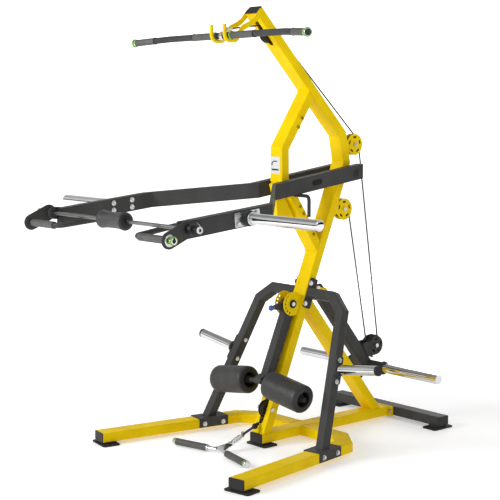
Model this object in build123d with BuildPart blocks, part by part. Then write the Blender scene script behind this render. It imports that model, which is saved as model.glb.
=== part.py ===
from build123d import *
import math
import os

os.makedirs("parts", exist_ok=True)

# All sizes are in millimetres. The origin is on the floor under the middle of the machine's box:
# +X is the right hand of a user who faces the machine, +Y runs from the user to the rear and
# +Z is up.
# Side positions are (y, z) pairs whose y is measured from the upright's front face.
FACE_Y = 104.5

# Box tube of the yellow frame
TUBE_WIDE = 92.0
TUBE_DEEP = 51.0
TUBE_WALL = 3.0
TUBE_CORNER = 7.0
CAP_THICK = 4.0

# Base
BASE_TOP = 66.5
BASE_MID = BASE_TOP - TUBE_DEEP / 2
FOOT_LONG = 148.0
FOOT_SHORT = 94.0
FOOT_THICK = 8.0
LEG_START = (549.0, -731.0)
LEG_CORNER = (411.0, 88.5)
LEG_BEND = (290.0, 183.0)
BEAM_FRONT = -135.0
BEAM_REAR = 803.0
REAR_BEAM_Y = 857.5
REAR_BEAM_DEEP = 81.0
REAR_BEAM_HALF = 404.0
REAR_BEAM_LIFT = 3.0

# Mast, post and brace: corners of their centre lines
MAST_FOOT = (-106.0, 40.0)
MAST_BEND = (465.5, 1440.0)
MAST_NECK = (435.0, 1588.8)
MAST_TOP = (-152.0, 2205.0)
POST_LOW = (25.5, 1361.7)
POST_HIGH = (25.5, 1522.2)
BRACE_TOP = (218.9, 685.0)
BRACE_FOOT = (715.0, 66.5)

# Pulleys: centres, rims and the radius that the cable's centre line runs on
CABLE_R = 4.0
AXLE_R = 6.0
TOP_PULLEY = (-58.0, 2096.0)
GUIDE_PULLEY = (552.0, 1530.0)
REAR_PULLEY = (477.0, 1187.5)
LEVER_PULLEY = (720.0, 422.0)
BASE_PULLEY = (-66.0, 184.0)
RIM = 48.0
PITCH = 44.0
BASE_RIM = 44.0
BASE_PITCH = 40.0
PULLEY_HALF = 10.0
HUB_HALF = 12.6
GUARD_X = 13.0
GUARD_THICK = 3.0
GUARD_R = 57.0
LEVER_GUARD_R = 57.0
LEVER_DISC_R = 51.0
LEVER_PLATE = 6.0

# Press arm
ARM_X = 76.0
ARM_WIDE = 48.0
ARM_HIGH = 78.0
ARM_SLOPE = 0.1375
ARM_REAR = (528.0, 1391.5)
ARM_FOLD = (-80.0, 1308.0)
ARM_SPLAY_X = 479.0
ARM_SPLAY = (-460.0, 1255.5)
ARM_FRONT = (-985.0, 1203.0)
ARM_PIVOT = (490.0, 1378.0)
SHAFT_R = 12.5
RUNNING_GAP = 0.05
HORN_R = 25.0
PRESS_HORN = (-627.5, 1238.0)
PRESS_HORN_END = 975.0
HORN_PLATE = 6.0
HORN_BOSS = 16.0

# Handles at the front of the press arm
ROD_AXIS = (-1003.0, 1217.0)
ROD_R = 9.0
HUB_R = 30.0
HUB_PLATE = 8.0
HANDLE_AXIS = (-1103.0, 1174.0)
HANDLE_PLATE_X = 549.0
HANDLE_CORNER_X = 307.0
HANDLE_END = (270.0, -850.0, 1201.0)
HANDLE_R = 13.0
GRIP_R = 17.5

# Lat bar, in its hooks
BAR_CENTRE = (-343.0, 2075.0)
BAR_R = 16.0
BAR_YAW = -3.5
HOOK_PLATE = 6.0
HOOK_R = 9.0
HOOK_LOW = 2049.0

# Lever under the mast
LEVER_PIVOT = (265.0, 785.0)
LEVER_WIDE = 50.0
LEVER_DEEP = 66.0
LEVER_TOP = (312.0, 757.0)
LEVER_END = (658.7, 326.5)
LEVER_HORN = (682.0, 314.0)
LEVER_HORN_END = 517.0
LEVER_CROSS_R = 30.0
LEVER_CROSS_HALF = 120.0
LEVER_LIFT = 45.0

# Leg developer
LEG_PIVOT = (88.0, 718.0)
LEG_ROLLER_Y = -107.0
LEG_ROLLER_Z = 340.0
LEG_DROOP = 8.0
ROLLER_R = 72.0

# Arch on the base legs, drawn in a plane that leans with the mast
ARCH_SIDE = 52.0
ARCH_FOOT = (442.0, 0.0)
ARCH_CORNER = (312.0, 680.6)
ARCH_BEND = (226.0, 750.7)
ARCH_ORIGIN = (-86.0, 70.0)
STORAGE_TILT = 8.2
STORAGE_RUN = 312.0
STORAGE_ALONG = 386.6

# Low row
ROW_BALL = (-141.0, 103.0)
ROW_CLIP = (-232.0, 71.0)


def direction(start, end):
    """The unit (y, z) direction from one side position to another."""
    length = math.hypot(end[0] - start[0], end[1] - start[1])
    return ((end[0] - start[0]) / length, (end[1] - start[1]) / length)


LEAN = direction(MAST_FOOT, MAST_BEND)
NECK = direction(MAST_BEND, MAST_NECK)
UPPER = direction(MAST_NECK, MAST_TOP)


def at(x, y, z):
    """A point with y measured from the upright's front face."""
    return Vector(x, FACE_Y + y, z)


def side_plane(x):
    """The side view at x: its own x runs to the rear and its own y runs up."""
    return Plane(origin=(x, FACE_Y, 0), x_dir=(0, 1, 0), z_dir=(1, 0, 0))


def side_face(point, normal):
    """A plane square to the side view, through a (y, z) point, facing along a (y, z) normal."""
    return Plane(origin=at(0, *point), x_dir=(1, 0, 0), z_dir=(0, normal[0], normal[1]))


def save(part, name):
    """Label a finished piece and write its STEP file."""
    part.label = name
    export_step(part, f"parts/{name}.step")


def toward(start, end, distance):
    """The point a distance from start on the way to end, for 3-D vectors."""
    return start + (end - start).normalized() * distance


def tube_section(start, along, across, wide, deep, wall, corner):
    """The hollow section of a rectangular tube, square to its run."""
    with BuildSketch(Plane(origin=start, x_dir=across, z_dir=along)) as section:
        RectangleRounded(wide, deep, corner)
        RectangleRounded(wide - 2 * wall, deep - 2 * wall, corner - wall, mode=Mode.SUBTRACT)
    return section.sketch


def box_tube(points, wide, deep, across, wall=TUBE_WALL, corner=TUBE_CORNER):
    """Add a hollow rectangular tube along straight runs, each cut to a mitre at its corners.

    across is the first run's width direction; it turns with the tube at each corner.
    """
    across = Vector(*across) if isinstance(across, tuple) else across
    runs = [(end - start).normalized() for start, end in zip(points, points[1:])]
    for number, (start, end) in enumerate(zip(points, points[1:])):
        along = runs[number]
        first, last = number == 0, number == len(runs) - 1
        before = start if first else start - along * wide
        after = end if last else end + along * wide
        section = tube_section(before, along, across, wide, deep, wall, corner)
        run = extrude(section, amount=(after - before).length, mode=Mode.PRIVATE)
        if not first:
            mitre = Plane(origin=start, z_dir=runs[number - 1] + along)
            run = split(run, bisect_by=mitre, keep=Keep.TOP, mode=Mode.PRIVATE)
        if not last:
            turn = runs[number + 1]
            mitre = Plane(origin=end, z_dir=along + turn)
            run = split(run, bisect_by=mitre, keep=Keep.BOTTOM, mode=Mode.PRIVATE)
            bend = along.cross(turn)
            across = across.rotate(Axis((0, 0, 0), bend), along.get_angle(turn))
        add(run)


def cylinder(start, end, radius, mode=Mode.ADD):
    """A round bar between two points."""
    with BuildSketch(Plane(origin=start, z_dir=end - start)) as section:
        Circle(radius)
    extrude(section.sketch, amount=(end - start).length, mode=mode)


def pipe(start, end, outer, inner):
    """A round tube between two points."""
    with BuildSketch(Plane(origin=start, z_dir=end - start)) as section:
        Circle(outer)
        Circle(inner, mode=Mode.SUBTRACT)
    extrude(section.sketch, amount=(end - start).length)


def bent_rod(points, radius, bend):
    """A round rod along straight runs joined by arcs."""
    with BuildLine() as route:
        FilletPolyline(*points, radius=bend)
    start = Plane(origin=points[0], z_dir=points[1] - points[0])
    with BuildSketch(start) as section:
        Circle(radius)
    sweep(sections=section.sketch, path=route.line)


def side_plate(outline, x, thick, mode=Mode.ADD):
    """A flat plate cut to a side-view outline, from x outwards by its thickness."""
    with BuildSketch(side_plane(x)) as profile:
        with BuildLine():
            Polyline(*outline, close=True)
        make_face()
    extrude(profile.sketch, amount=thick, mode=mode)


def bolt_head(centre, outward):
    """A washer and a hexagon head that stand on a surface."""
    with BuildSketch(Plane(origin=centre, z_dir=outward)) as washer:
        Circle(13)
    extrude(washer.sketch, amount=2)
    with BuildSketch(Plane(origin=centre + outward * 2, z_dir=outward)) as head:
        RegularPolygon(10, 6)
    extrude(head.sketch, amount=7)


# Base ---------------------------------------------------------------------------------------

def foot_frame(point, along):
    """The floor plane at a foot, turned to its tube."""
    return Plane(origin=at(point[0], point[1], 0), x_dir=(-along[1], along[0], 0), z_dir=(0, 0, 1))


def foot_frames():
    """A floor plane for each foot: two front legs, the centre beam and the rear beam's ends."""
    frames = []
    for side in (-1, 1):
        run_x = side * (LEG_CORNER[0] - LEG_START[0])
        run_y = LEG_CORNER[1] - LEG_START[1]
        length = math.hypot(run_x, run_y)
        along = (run_x / length, run_y / length)
        centre = (side * LEG_START[0] + 42 * along[0], LEG_START[1] + 42 * along[1])
        frames.append((foot_frame(centre, along), BASE_TOP - TUBE_DEEP))
        rear = (side * (REAR_BEAM_HALF - 41), REAR_BEAM_Y)
        frames.append((foot_frame(rear, (1, 0)), BASE_TOP - TUBE_DEEP + REAR_BEAM_LIFT))
    frames.append((foot_frame((0, BEAM_FRONT + 42), (0, 1)), BASE_TOP - TUBE_DEEP))
    return frames


def base_leg(side):
    """One leg of the base, its corner piece and its half of the cross member."""
    first = at(side * LEG_START[0], LEG_START[1], BASE_MID)
    corner = at(side * LEG_CORNER[0], LEG_CORNER[1], BASE_MID)
    bend = at(side * LEG_BEND[0], LEG_BEND[1], BASE_MID)
    inner = at(side * TUBE_WIDE / 2, LEG_BEND[1], BASE_MID)
    start = toward(first, corner, CAP_THICK)
    across = (corner - first).cross(Vector(0, 0, 1))
    with BuildPart() as leg:
        box_tube([start, corner, bend, inner], TUBE_WIDE, TUBE_DEEP, across)
    return leg.part


with BuildPart() as centre_beam:
    box_tube([at(0, BEAM_FRONT + CAP_THICK, BASE_MID), at(0, BEAM_REAR, BASE_MID)],
             TUBE_WIDE, TUBE_DEEP, (1, 0, 0))
save(centre_beam.part, "centre_beam")

save(base_leg(-1), "base_leg_left")
save(base_leg(-1).mirror(Plane.YZ), "base_leg_right")

with BuildPart() as rear_beam:
    rear_z = BASE_MID + REAR_BEAM_LIFT
    rear_in = REAR_BEAM_HALF - CAP_THICK
    box_tube([at(-rear_in, REAR_BEAM_Y, rear_z), at(rear_in, REAR_BEAM_Y, rear_z)],
             REAR_BEAM_DEEP, TUBE_DEEP, (0, 1, 0))
save(rear_beam.part, "rear_beam")

with BuildPart() as foot_plates:
    for frame, _ in foot_frames():
        with BuildSketch(frame):
            RectangleRounded(FOOT_LONG, FOOT_SHORT, 12)
        extrude(amount=FOOT_THICK)
save(foot_plates.part, "foot_plates")

with BuildPart() as foot_spacers:
    for frame, top in foot_frames():
        with BuildSketch(frame.offset(FOOT_THICK)):
            RectangleRounded(FOOT_LONG / 2, FOOT_SHORT - 30, 4)
        extrude(amount=top - FOOT_THICK)
    flange_y = REAR_BEAM_Y - REAR_BEAM_DEEP / 2
    with BuildSketch(Plane(origin=at(0, flange_y, BASE_MID), x_dir=(1, 0, 0), z_dir=(0, -1, 0))):
        RectangleRounded(TUBE_WIDE + 56, TUBE_DEEP + 6, 5)
    extrude(amount=flange_y - BEAM_REAR)
save(foot_spacers.part, "foot_spacers")


def end_cap(centre, outward, across, wide, deep):
    """A plastic plug's face, square to the tube that it closes."""
    with BuildSketch(Plane(origin=centre, x_dir=across, z_dir=outward)) as face:
        RectangleRounded(wide, deep, TUBE_CORNER)
    extrude(face.sketch, amount=CAP_THICK, taper=12)


# Mast, post and brace -----------------------------------------------------------------------

REAR_FACE = side_face(MAST_FOOT, (LEAN[1], -LEAN[0])).offset(TUBE_DEEP / 2)
FRONT_FACE = side_face(MAST_FOOT, (-LEAN[1], LEAN[0])).offset(TUBE_DEEP / 2)
NECK_REAR = side_face(MAST_BEND, (NECK[1], -NECK[0])).offset(TUBE_DEEP / 2)
FRONT_OF_UPPER = side_face(MAST_TOP, (-UPPER[1], UPPER[0])).offset(TUBE_DEEP / 2)
BOSSES = [(139.0, 1675.0), (112.0, 1630.0), (89.0, 1282.6), (128.0, 1223.0),
          (153.0, 1185.0), (178.0, 1148.0), (201.0, 1111.0), (225.0, 1074.0)]
BOSS_R = 14.0
PIN_R = 9.0


def along_x(point, half, radius, mode=Mode.ADD):
    """A round bar across the machine through a (y, z) point."""
    cylinder(at(-half, *point), at(half, *point), radius, mode=mode)


def slot_cut(centre, direction, length, wide, deep):
    """Cut a slot through a tube wall, long along a (y, z) direction."""
    along = Vector(0, direction[0], direction[1])
    plane = Plane(origin=at(0, *centre), x_dir=along, z_dir=along.cross(Vector(1, 0, 0)))
    with BuildSketch(plane) as slot:
        SlotOverall(length, wide)
    extrude(slot.sketch, amount=deep, both=True, mode=Mode.SUBTRACT)


with BuildPart() as mast:
    box_tube([at(0, *MAST_FOOT), at(0, *MAST_BEND), at(0, *MAST_NECK), at(0, *MAST_TOP)],
             TUBE_WIDE, TUBE_DEEP, (1, 0, 0))
    split(bisect_by=Plane.XY.offset(BASE_TOP), keep=Keep.TOP)
    slot_cut((TOP_PULLEY[0] + 18 * UPPER[0], TOP_PULLEY[1] + 18 * UPPER[1]), UPPER, 164, 30, 60)
    slot_cut((BASE_PULLEY[0] + 12, BASE_PULLEY[1] - 4), LEAN, 2 * BASE_RIM + 74, 30, 34)
    slot_cut((42.0, 300.0), LEAN, 150, 14, 26)
    slot_cut((316.0, 1008.0), LEAN, 170, 14, 22)
    along_x(TOP_PULLEY, TUBE_WIDE, AXLE_R, mode=Mode.SUBTRACT)
    along_x(BASE_PULLEY, TUBE_WIDE, AXLE_R, mode=Mode.SUBTRACT)
save(mast.part, "mast")

with BuildPart() as mast_cap:
    top_out = Vector(0, *UPPER)
    end_cap(at(0, *MAST_TOP), top_out, (1, 0, 0), TUBE_WIDE, TUBE_DEEP)
save(mast_cap.part, "mast_cap")

with BuildPart() as front_post:
    box_tube([at(0, 320, 917), at(0, *POST_LOW), at(0, *POST_HIGH), at(0, 275, 1896)],
             TUBE_WIDE, TUBE_DEEP, (1, 0, 0))
    split(bisect_by=FRONT_FACE, keep=Keep.TOP)
    split(bisect_by=FRONT_OF_UPPER, keep=Keep.TOP)
    for boss in BOSSES:
        along_x(boss, TUBE_WIDE, BOSS_R, mode=Mode.SUBTRACT)
save(front_post.part, "front_post")

with BuildPart() as pin_bosses:
    for boss in BOSSES:
        pipe(at(-TUBE_WIDE / 2 - 1.5, *boss), at(TUBE_WIDE / 2 + 1.5, *boss),
             BOSS_R, PIN_R + RUNNING_GAP)
save(pin_bosses.part, "pin_bosses")

with BuildPart() as rear_brace:
    run = Vector(0, BRACE_FOOT[0] - BRACE_TOP[0], BRACE_FOOT[1] - BRACE_TOP[1]).normalized()
    box_tube([at(0, *BRACE_TOP) - run * 120, at(0, *BRACE_FOOT) + run * 90],
             TUBE_WIDE, TUBE_DEEP, (1, 0, 0))
    split(bisect_by=REAR_FACE, keep=Keep.TOP)
    split(bisect_by=Plane.XY.offset(BASE_TOP), keep=Keep.TOP)
save(rear_brace.part, "rear_brace")


# Arch ---------------------------------------------------------------------------------------

def arch_point(side, x, along):
    """A point of the arch's centre line: along is measured up its leaning plane."""
    return at(side * x, ARCH_ORIGIN[0] + LEAN[0] * along, ARCH_ORIGIN[1] + LEAN[1] * along)


SADDLE_THICK = 4.0
SADDLE_LONG = 176.0
SADDLE_DEEP = 46.0
SADDLE_ALONG = 656.0
ARCH_PLATE = 8.0
ARCH_LEAN = (ARCH_FOOT[0] - ARCH_CORNER[0]) / ARCH_CORNER[1]


def arch_half(side):
    """One leg and half of the crossbar, with the plate that bolts to the mast's side."""
    low = arch_point(side, ARCH_FOOT[0] + 30 * ARCH_LEAN, -30)
    points = [low, arch_point(side, *ARCH_CORNER), arch_point(side, *ARCH_BEND),
              arch_point(side, TUBE_WIDE / 2 + ARCH_PLATE, ARCH_BEND[1])]
    lean = Vector(0, *LEAN)
    with BuildPart() as half:
        box_tube(points, ARCH_SIDE, ARCH_SIDE, Vector(0, -LEAN[1], LEAN[0]))
        split(bisect_by=Plane.XY.offset(BASE_TOP + SADDLE_THICK), keep=Keep.TOP)
        centre = arch_point(side, TUBE_WIDE / 2, ARCH_BEND[1])
        with BuildSketch(Plane(origin=centre, x_dir=lean, z_dir=(side, 0, 0))) as plate:
            RectangleRounded(160, 50, 8)
        extrude(plate.sketch, amount=ARCH_PLATE)
    return half.part


save(arch_half(-1), "arch_left")
save(arch_half(-1).mirror(Plane.YZ), "arch_right")


def storage_axis(side):
    """Start on the arch leg's outer face and end of a storage horn."""
    tilt = math.radians(STORAGE_TILT)
    along = Vector(side * math.cos(tilt), 0, math.sin(tilt))
    reach = ARCH_FOOT[0] - ARCH_LEAN * STORAGE_ALONG
    centre = arch_point(side, reach, STORAGE_ALONG)
    return centre + along * 34.5, centre + along * STORAGE_RUN


def storage_flange(side):
    """A plate on the arch leg's outer face that carries the storage horn."""
    leg = Vector(-side * ARCH_LEAN, LEAN[0], LEAN[1]).normalized()
    out = Vector(side, 0, 0) - leg * (side * leg.X)
    reach = ARCH_FOOT[0] - ARCH_LEAN * STORAGE_ALONG
    face = arch_point(side, reach, STORAGE_ALONG) + out.normalized() * (ARCH_SIDE / 2)
    with BuildSketch(Plane(origin=face, x_dir=leg, z_dir=out)) as plate:
        RectangleRounded(140, 50, 8)
    extrude(plate.sketch, amount=6)


def saddle_frame(side):
    """The middle of a base leg's outer face under the arch, with its own x along the leg."""
    first = at(side * LEG_START[0], LEG_START[1], BASE_MID)
    corner = at(side * LEG_CORNER[0], LEG_CORNER[1], BASE_MID)
    along = (corner - first).normalized()
    out = Vector(side * along.Y, -side * along.X, 0)
    return Plane(origin=first + along * SADDLE_ALONG + out * (TUBE_WIDE / 2), x_dir=along, z_dir=out)


with BuildPart() as mount_plates:
    for side in (-1, 1):
        storage_flange(side)
        outer = saddle_frame(side)
        low = outer.from_local_coords((0, 0, -TUBE_WIDE / 2))
        with BuildSketch(Plane(origin=Vector(low.X, low.Y, BASE_TOP), x_dir=outer.x_dir)) as top:
            Rectangle(SADDLE_LONG, TUBE_WIDE + 2 * SADDLE_THICK)
        extrude(top.sketch, amount=SADDLE_THICK)
        for depth in (0, -TUBE_WIDE - SADDLE_THICK):
            flap = outer.from_local_coords((0, 0, depth)) + Vector(0, 0, (TUBE_DEEP - SADDLE_DEEP) / 2)
            with BuildSketch(Plane(origin=flap, x_dir=outer.x_dir, z_dir=outer.z_dir)) as face:
                Rectangle(SADDLE_LONG, SADDLE_DEEP)
            extrude(face.sketch, amount=SADDLE_THICK)
    for side in (-1, 1):
        start, end = storage_axis(side)
        cylinder(start - (end - start).normalized() * 3.5, start, 32)
save(mount_plates.part, "mount_plates")

with BuildPart() as storage_horns:
    for side in (-1, 1):
        start, end = storage_axis(side)
        pipe(start, toward(end, start, 12), HORN_R, HORN_R - 3)
save(storage_horns.part, "storage_horns")


# Pulleys ------------------------------------------------------------------------------------

def pulley(centre, rim, pitch):
    """A grooved wheel with a raised hub and a bore that runs on its axle."""
    groove = CABLE_R + 0.6
    plane = Plane(origin=at(0, *centre), x_dir=(1, 0, 0), z_dir=(0, -1, 0))
    with BuildPart() as wheel:
        with BuildSketch(plane) as section:
            with Locations((0, (rim + pitch) / 2 - 9)):
                Rectangle(2 * PULLEY_HALF, rim - pitch + 18)
            with Locations((0, pitch / 2)):
                Rectangle(9, pitch)
            with Locations((0, 8)):
                Rectangle(2 * HUB_HALF, 16)
            with Locations((0, (AXLE_R + RUNNING_GAP) / 2)):
                Rectangle(3 * HUB_HALF, AXLE_R + RUNNING_GAP, mode=Mode.SUBTRACT)
            with Locations((0, pitch)):
                Circle(groove, mode=Mode.SUBTRACT)
            with BuildLine():
                Polyline((-groove, pitch), (groove, pitch), (7.5, rim + 1), (-7.5, rim + 1),
                         close=True)
            make_face(mode=Mode.SUBTRACT)
        revolve(section.sketch, axis=Axis(at(0, *centre), (1, 0, 0)))
    return wheel.part


save(pulley(TOP_PULLEY, RIM, PITCH), "top_pulley")
save(pulley(GUIDE_PULLEY, RIM, PITCH), "guide_pulley")
save(pulley(REAR_PULLEY, RIM, PITCH), "rear_pulley")
save(pulley(LEVER_PULLEY, RIM, PITCH), "lever_pulley")
save(pulley(BASE_PULLEY, BASE_RIM, BASE_PITCH), "base_pulley")


def slotted_disc(centre, radius, x, thick):
    """A guard disc with five arc slots, on a side plane at x."""
    with BuildSketch(side_plane(x)) as disc:
        with Locations(centre):
            Circle(radius)
        with Locations(centre):
            with PolarLocations(radius * 0.68, 5, start_angle=90):
                SlotOverall(24, 10, rotation=90, mode=Mode.SUBTRACT)
        with Locations(centre):
            Circle(AXLE_R, mode=Mode.SUBTRACT)
    extrude(disc.sketch, amount=thick)


def guard_tab(centre, reach, half, x, wall):
    """A tab from a guard disc to the mast's rear wall."""
    with BuildSketch(side_plane(x)) as tab:
        with Locations((centre[0] - reach / 2 - 34, centre[1])):
            Rectangle(reach, 2 * half)
        with Locations(centre):
            Circle(GUARD_R, mode=Mode.SUBTRACT)
    extrude(tab.sketch, amount=GUARD_THICK)
    split(bisect_by=wall, keep=Keep.TOP)


with BuildPart() as guide_guard:
    for x in (GUARD_X, -GUARD_X - GUARD_THICK):
        guard_tab(GUIDE_PULLEY, 90, 24, x, NECK_REAR)
        slotted_disc(GUIDE_PULLEY, GUARD_R, x, GUARD_THICK)

with BuildPart() as rear_guard:
    for x in (GUARD_X, -GUARD_X - GUARD_THICK):
        guard_tab(REAR_PULLEY, 90, 24, x, REAR_FACE)
        slotted_disc(REAR_PULLEY, GUARD_R, x, GUARD_THICK)

with BuildPart() as pulley_guards:
    add(guide_guard.part)
    add(rear_guard.part)
save(pulley_guards.part, "pulley_guards")


def axle(centre, half):
    """An axle bolt with a head at each end, through a (y, z) point."""
    along_x(centre, half, AXLE_R)
    for side in (-1, 1):
        cylinder(at(side * half, *centre), at(side * (half + 8), *centre), 11)


# Cables -------------------------------------------------------------------------------------

def tangent_points(first, r_first, second, r_second):
    """Where a straight cable leaves one circle and meets the next, for (y, z) centres.

    A radius is positive when its centre is on the right of the run and negative on the left.
    """
    gap = Vector(second[0] - first[0], second[1] - first[1])
    length = gap.length
    heading = math.atan2(gap.Y, gap.X) - math.asin((r_first - r_second) / length)
    left = (-math.sin(heading), math.cos(heading))
    start = (first[0] + left[0] * r_first, first[1] + left[1] * r_first)
    end = (second[0] + left[0] * r_second, second[1] + left[1] * r_second)
    return start, end


def angle_from(centre, point):
    """Direction of a point seen from a centre, in degrees."""
    return math.degrees(math.atan2(point[1] - centre[1], point[0] - centre[0]))


def wrap(centre, radius, start, end, turn):
    """An arc of cable round a pulley from one tangent point to another; turn is +1 or -1."""
    first = angle_from(centre, start)
    sweep_by = (angle_from(centre, end) - first) * turn % 360 * turn
    return CenterArc(centre, radius, first, sweep_by)


def cable(lines):
    """Sweep the cable's round section along lines drawn in the machine's middle plane."""
    wire = side_plane(0) * Wire(lines)
    start = wire @ 0
    with BuildSketch(Plane(origin=start, z_dir=wire % 0)) as section:
        Circle(CABLE_R)
    sweep(sections=section.sketch, path=wire)


BAR_EYE = (BAR_CENTRE[0] + 14, BAR_CENTRE[1] + 31)
ENTRY = (262.0, 925.0)
TAIL = tangent_points(BAR_EYE, 0, TOP_PULLEY, PITCH)
DOWN = tangent_points(TOP_PULLEY, PITCH, GUIDE_PULLEY, PITCH)
REAR_SPAN = tangent_points(GUIDE_PULLEY, PITCH, LEVER_PULLEY, PITCH)
FRONT_SPAN = tangent_points(LEVER_PULLEY, PITCH, REAR_PULLEY, -PITCH)
TO_ENTRY = tangent_points(REAR_PULLEY, -PITCH, ENTRY, 0)
TO_BASE = tangent_points(ENTRY, 0, BASE_PULLEY, BASE_PITCH)
ROW_RUN = tangent_points(BASE_PULLEY, BASE_PITCH, ROW_BALL, 0)


with BuildPart() as lat_cable:
    cable([wrap(TOP_PULLEY, PITCH, TAIL[1], DOWN[0], -1), Line(*DOWN),
           wrap(GUIDE_PULLEY, PITCH, DOWN[1], REAR_SPAN[0], -1)])
save(lat_cable.part, "lat_cable")

with BuildPart() as rear_span:
    cable([Line(*REAR_SPAN)])
save(rear_span.part, "rear_span")

with BuildPart() as lever_wrap:
    cable([wrap(LEVER_PULLEY, PITCH, REAR_SPAN[1], FRONT_SPAN[0], -1)])
save(lever_wrap.part, "lever_wrap")

with BuildPart() as front_span:
    cable([Line(*FRONT_SPAN)])
save(front_span.part, "front_span")

with BuildPart() as mast_cable:
    with BuildLine() as entry_bend:
        FilletPolyline(TO_ENTRY[0], ENTRY, TO_BASE[1], radius=200)
    cable([wrap(REAR_PULLEY, PITCH, FRONT_SPAN[1], TO_ENTRY[0], 1), *entry_bend.edges(),
           wrap(BASE_PULLEY, BASE_PITCH, TO_BASE[1], ROW_RUN[0], -1)])
save(mast_cable.part, "mast_cable")


# Brackets on the mast -----------------------------------------------------------------------

SLEEVE_R = 21.0
BRACKET_X = 27.5
INDEX_X = 30.0
INDEX_THICK = 5.0
INDEX_R = 62.0

with BuildPart() as arm_sleeve:
    pipe(at(-ARM_X + ARM_WIDE / 2 + 2, *ARM_PIVOT), at(ARM_X - ARM_WIDE / 2 - 2, *ARM_PIVOT),
         SLEEVE_R, SHAFT_R + RUNNING_GAP)
    side_plate([(440, 1340), (500, 1355), (510, 1378), (500, 1402), (450, 1420)], -20, 40)
    along_x(ARM_PIVOT, 60, SHAFT_R + RUNNING_GAP, mode=Mode.SUBTRACT)
    split(bisect_by=REAR_FACE, keep=Keep.TOP)

with BuildPart() as lever_bracket:
    for x in (BRACKET_X, -BRACKET_X - 8):
        side_plate([(200, 806), (234, 806), (337, 772), (322, 742), (262, 718), (232, 724),
                    (208, 752), (180, 752)], x, 8)
    split(bisect_by=REAR_FACE, keep=Keep.TOP)
    along_x(LEVER_PIVOT, 60, AXLE_R, mode=Mode.SUBTRACT)

with BuildPart() as index_plates:
    for x in (INDEX_X, -INDEX_X - INDEX_THICK):
        with BuildSketch(side_plane(x)) as plate:
            with Locations(LEG_PIVOT):
                Circle(INDEX_R)
                with Locations((40, -8)):
                    Rectangle(90, 100)
            with Locations(LEG_PIVOT):
                Circle(AXLE_R, mode=Mode.SUBTRACT)
                with PolarLocations(INDEX_R - 13, 6, start_angle=130, angular_range=140):
                    Circle(6, mode=Mode.SUBTRACT)
        extrude(plate.sketch, amount=INDEX_THICK)
    split(bisect_by=FRONT_FACE, keep=Keep.TOP)

with BuildPart() as stop_bracket:
    side_plate([(0, 1354), (-34, 1341), (-9, 1260), (0, 1178), (30, 1160), (120, 1160)], -14, 28)
    split(bisect_by=side_face((0.0, 1354.0), (-0.834, -0.5518)), keep=Keep.TOP)

with BuildPart() as mast_brackets:
    add(arm_sleeve.part)
    add(lever_bracket.part)
    add(index_plates.part)
    add(stop_bracket.part)
save(mast_brackets.part, "mast_brackets")

with BuildPart() as axle_bolts:
    axle(TOP_PULLEY, TUBE_WIDE / 2 + HOOK_PLATE)
    axle(BASE_PULLEY, TUBE_WIDE / 2)
    axle(GUIDE_PULLEY, GUARD_X + GUARD_THICK)
    axle(REAR_PULLEY, GUARD_X + GUARD_THICK)
    axle(LEVER_PIVOT, BRACKET_X + 8)
    axle(LEG_PIVOT, INDEX_X + INDEX_THICK)
save(axle_bolts.part, "axle_bolts")

HOOK_ARM = [(-128, 2206), (-142, 2178), (-186, 2138), (-226, 2117), (-262, 2100), (-268, 2074),
            (-290, 2078), (-292, 2100), (-262, 2130), (-222, 2146), (-190, 2166), (-150, 2212)]

with BuildPart() as bar_hooks:
    for x in (TUBE_WIDE / 2, -TUBE_WIDE / 2 - HOOK_PLATE):
        side_plate(HOOK_ARM, x, HOOK_PLATE)
    along_x(TOP_PULLEY, 80, AXLE_R, mode=Mode.SUBTRACT)
    for side in (-1, 1):
        x = side * (TUBE_WIDE + HOOK_PLATE) / 2
        bent_rod([at(x, -262, 2114), at(x, -304, HOOK_LOW), at(x, -377, HOOK_LOW), at(x, -379, 2128)],
                 HOOK_R, 32)
save(bar_hooks.part, "bar_hooks")


# Press arm ----------------------------------------------------------------------------------

def arm_solid(side, shrink, stretch):
    """The bent arm as a plan-view band cut by a side-view band, smaller all round by shrink."""
    half = ARM_WIDE / 2 - shrink
    high = ARM_HIGH / 2 - shrink
    reach = ARM_SPLAY_X - ARM_X
    bend = math.atan2(reach, ARM_FOLD[0] - ARM_SPLAY[0])
    step = half * math.tan(bend / 2)
    plan = []
    for sign in (-1, 1):
        edge = [(ARM_X + sign * half, ARM_REAR[0] + stretch),
                (ARM_X + sign * half, ARM_FOLD[0] + sign * -step),
                (ARM_SPLAY_X + sign * half, ARM_SPLAY[0] + sign * -step),
                (ARM_SPLAY_X + sign * half, ARM_FRONT[0] - stretch)]
        plan += edge if sign < 0 else edge[::-1]
    tail = (ARM_REAR[0] + 60, ARM_REAR[1] + 60 * ARM_SLOPE)
    nose = (ARM_FRONT[0] - 60, ARM_FRONT[1] - 6)
    line = [tail, ARM_SPLAY, nose]
    side_view = [(y, z + high) for y, z in line] + [(y, z - high) for y, z in reversed(line)]
    with BuildPart() as solid:
        with BuildSketch(Plane(origin=(0, FACE_Y, 1000))) as from_above:
            with BuildLine():
                Polyline(*[(side * x, y) for x, y in plan], close=True)
            make_face()
        extrude(from_above.sketch, amount=600)
        with BuildSketch(side_plane(-600)) as from_side:
            with BuildLine():
                Polyline(*side_view, close=True)
            make_face()
        extrude(from_side.sketch, amount=1200, mode=Mode.INTERSECT)
    return solid.part


def press_arm(side):
    """A hollow arm with the hole for its shaft."""
    with BuildPart() as arm:
        add(arm_solid(side, 0, 0))
        add(arm_solid(side, TUBE_WALL, 1), mode=Mode.SUBTRACT)
        along_x(ARM_PIVOT, 600, SHAFT_R, mode=Mode.SUBTRACT)
    return arm.part


save(press_arm(-1), "press_arm_left")
save(press_arm(1), "press_arm_right")

ARM_OUT = ARM_X + ARM_WIDE / 2
ARM_FRONT_OUT = ARM_SPLAY_X + ARM_WIDE / 2

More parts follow.
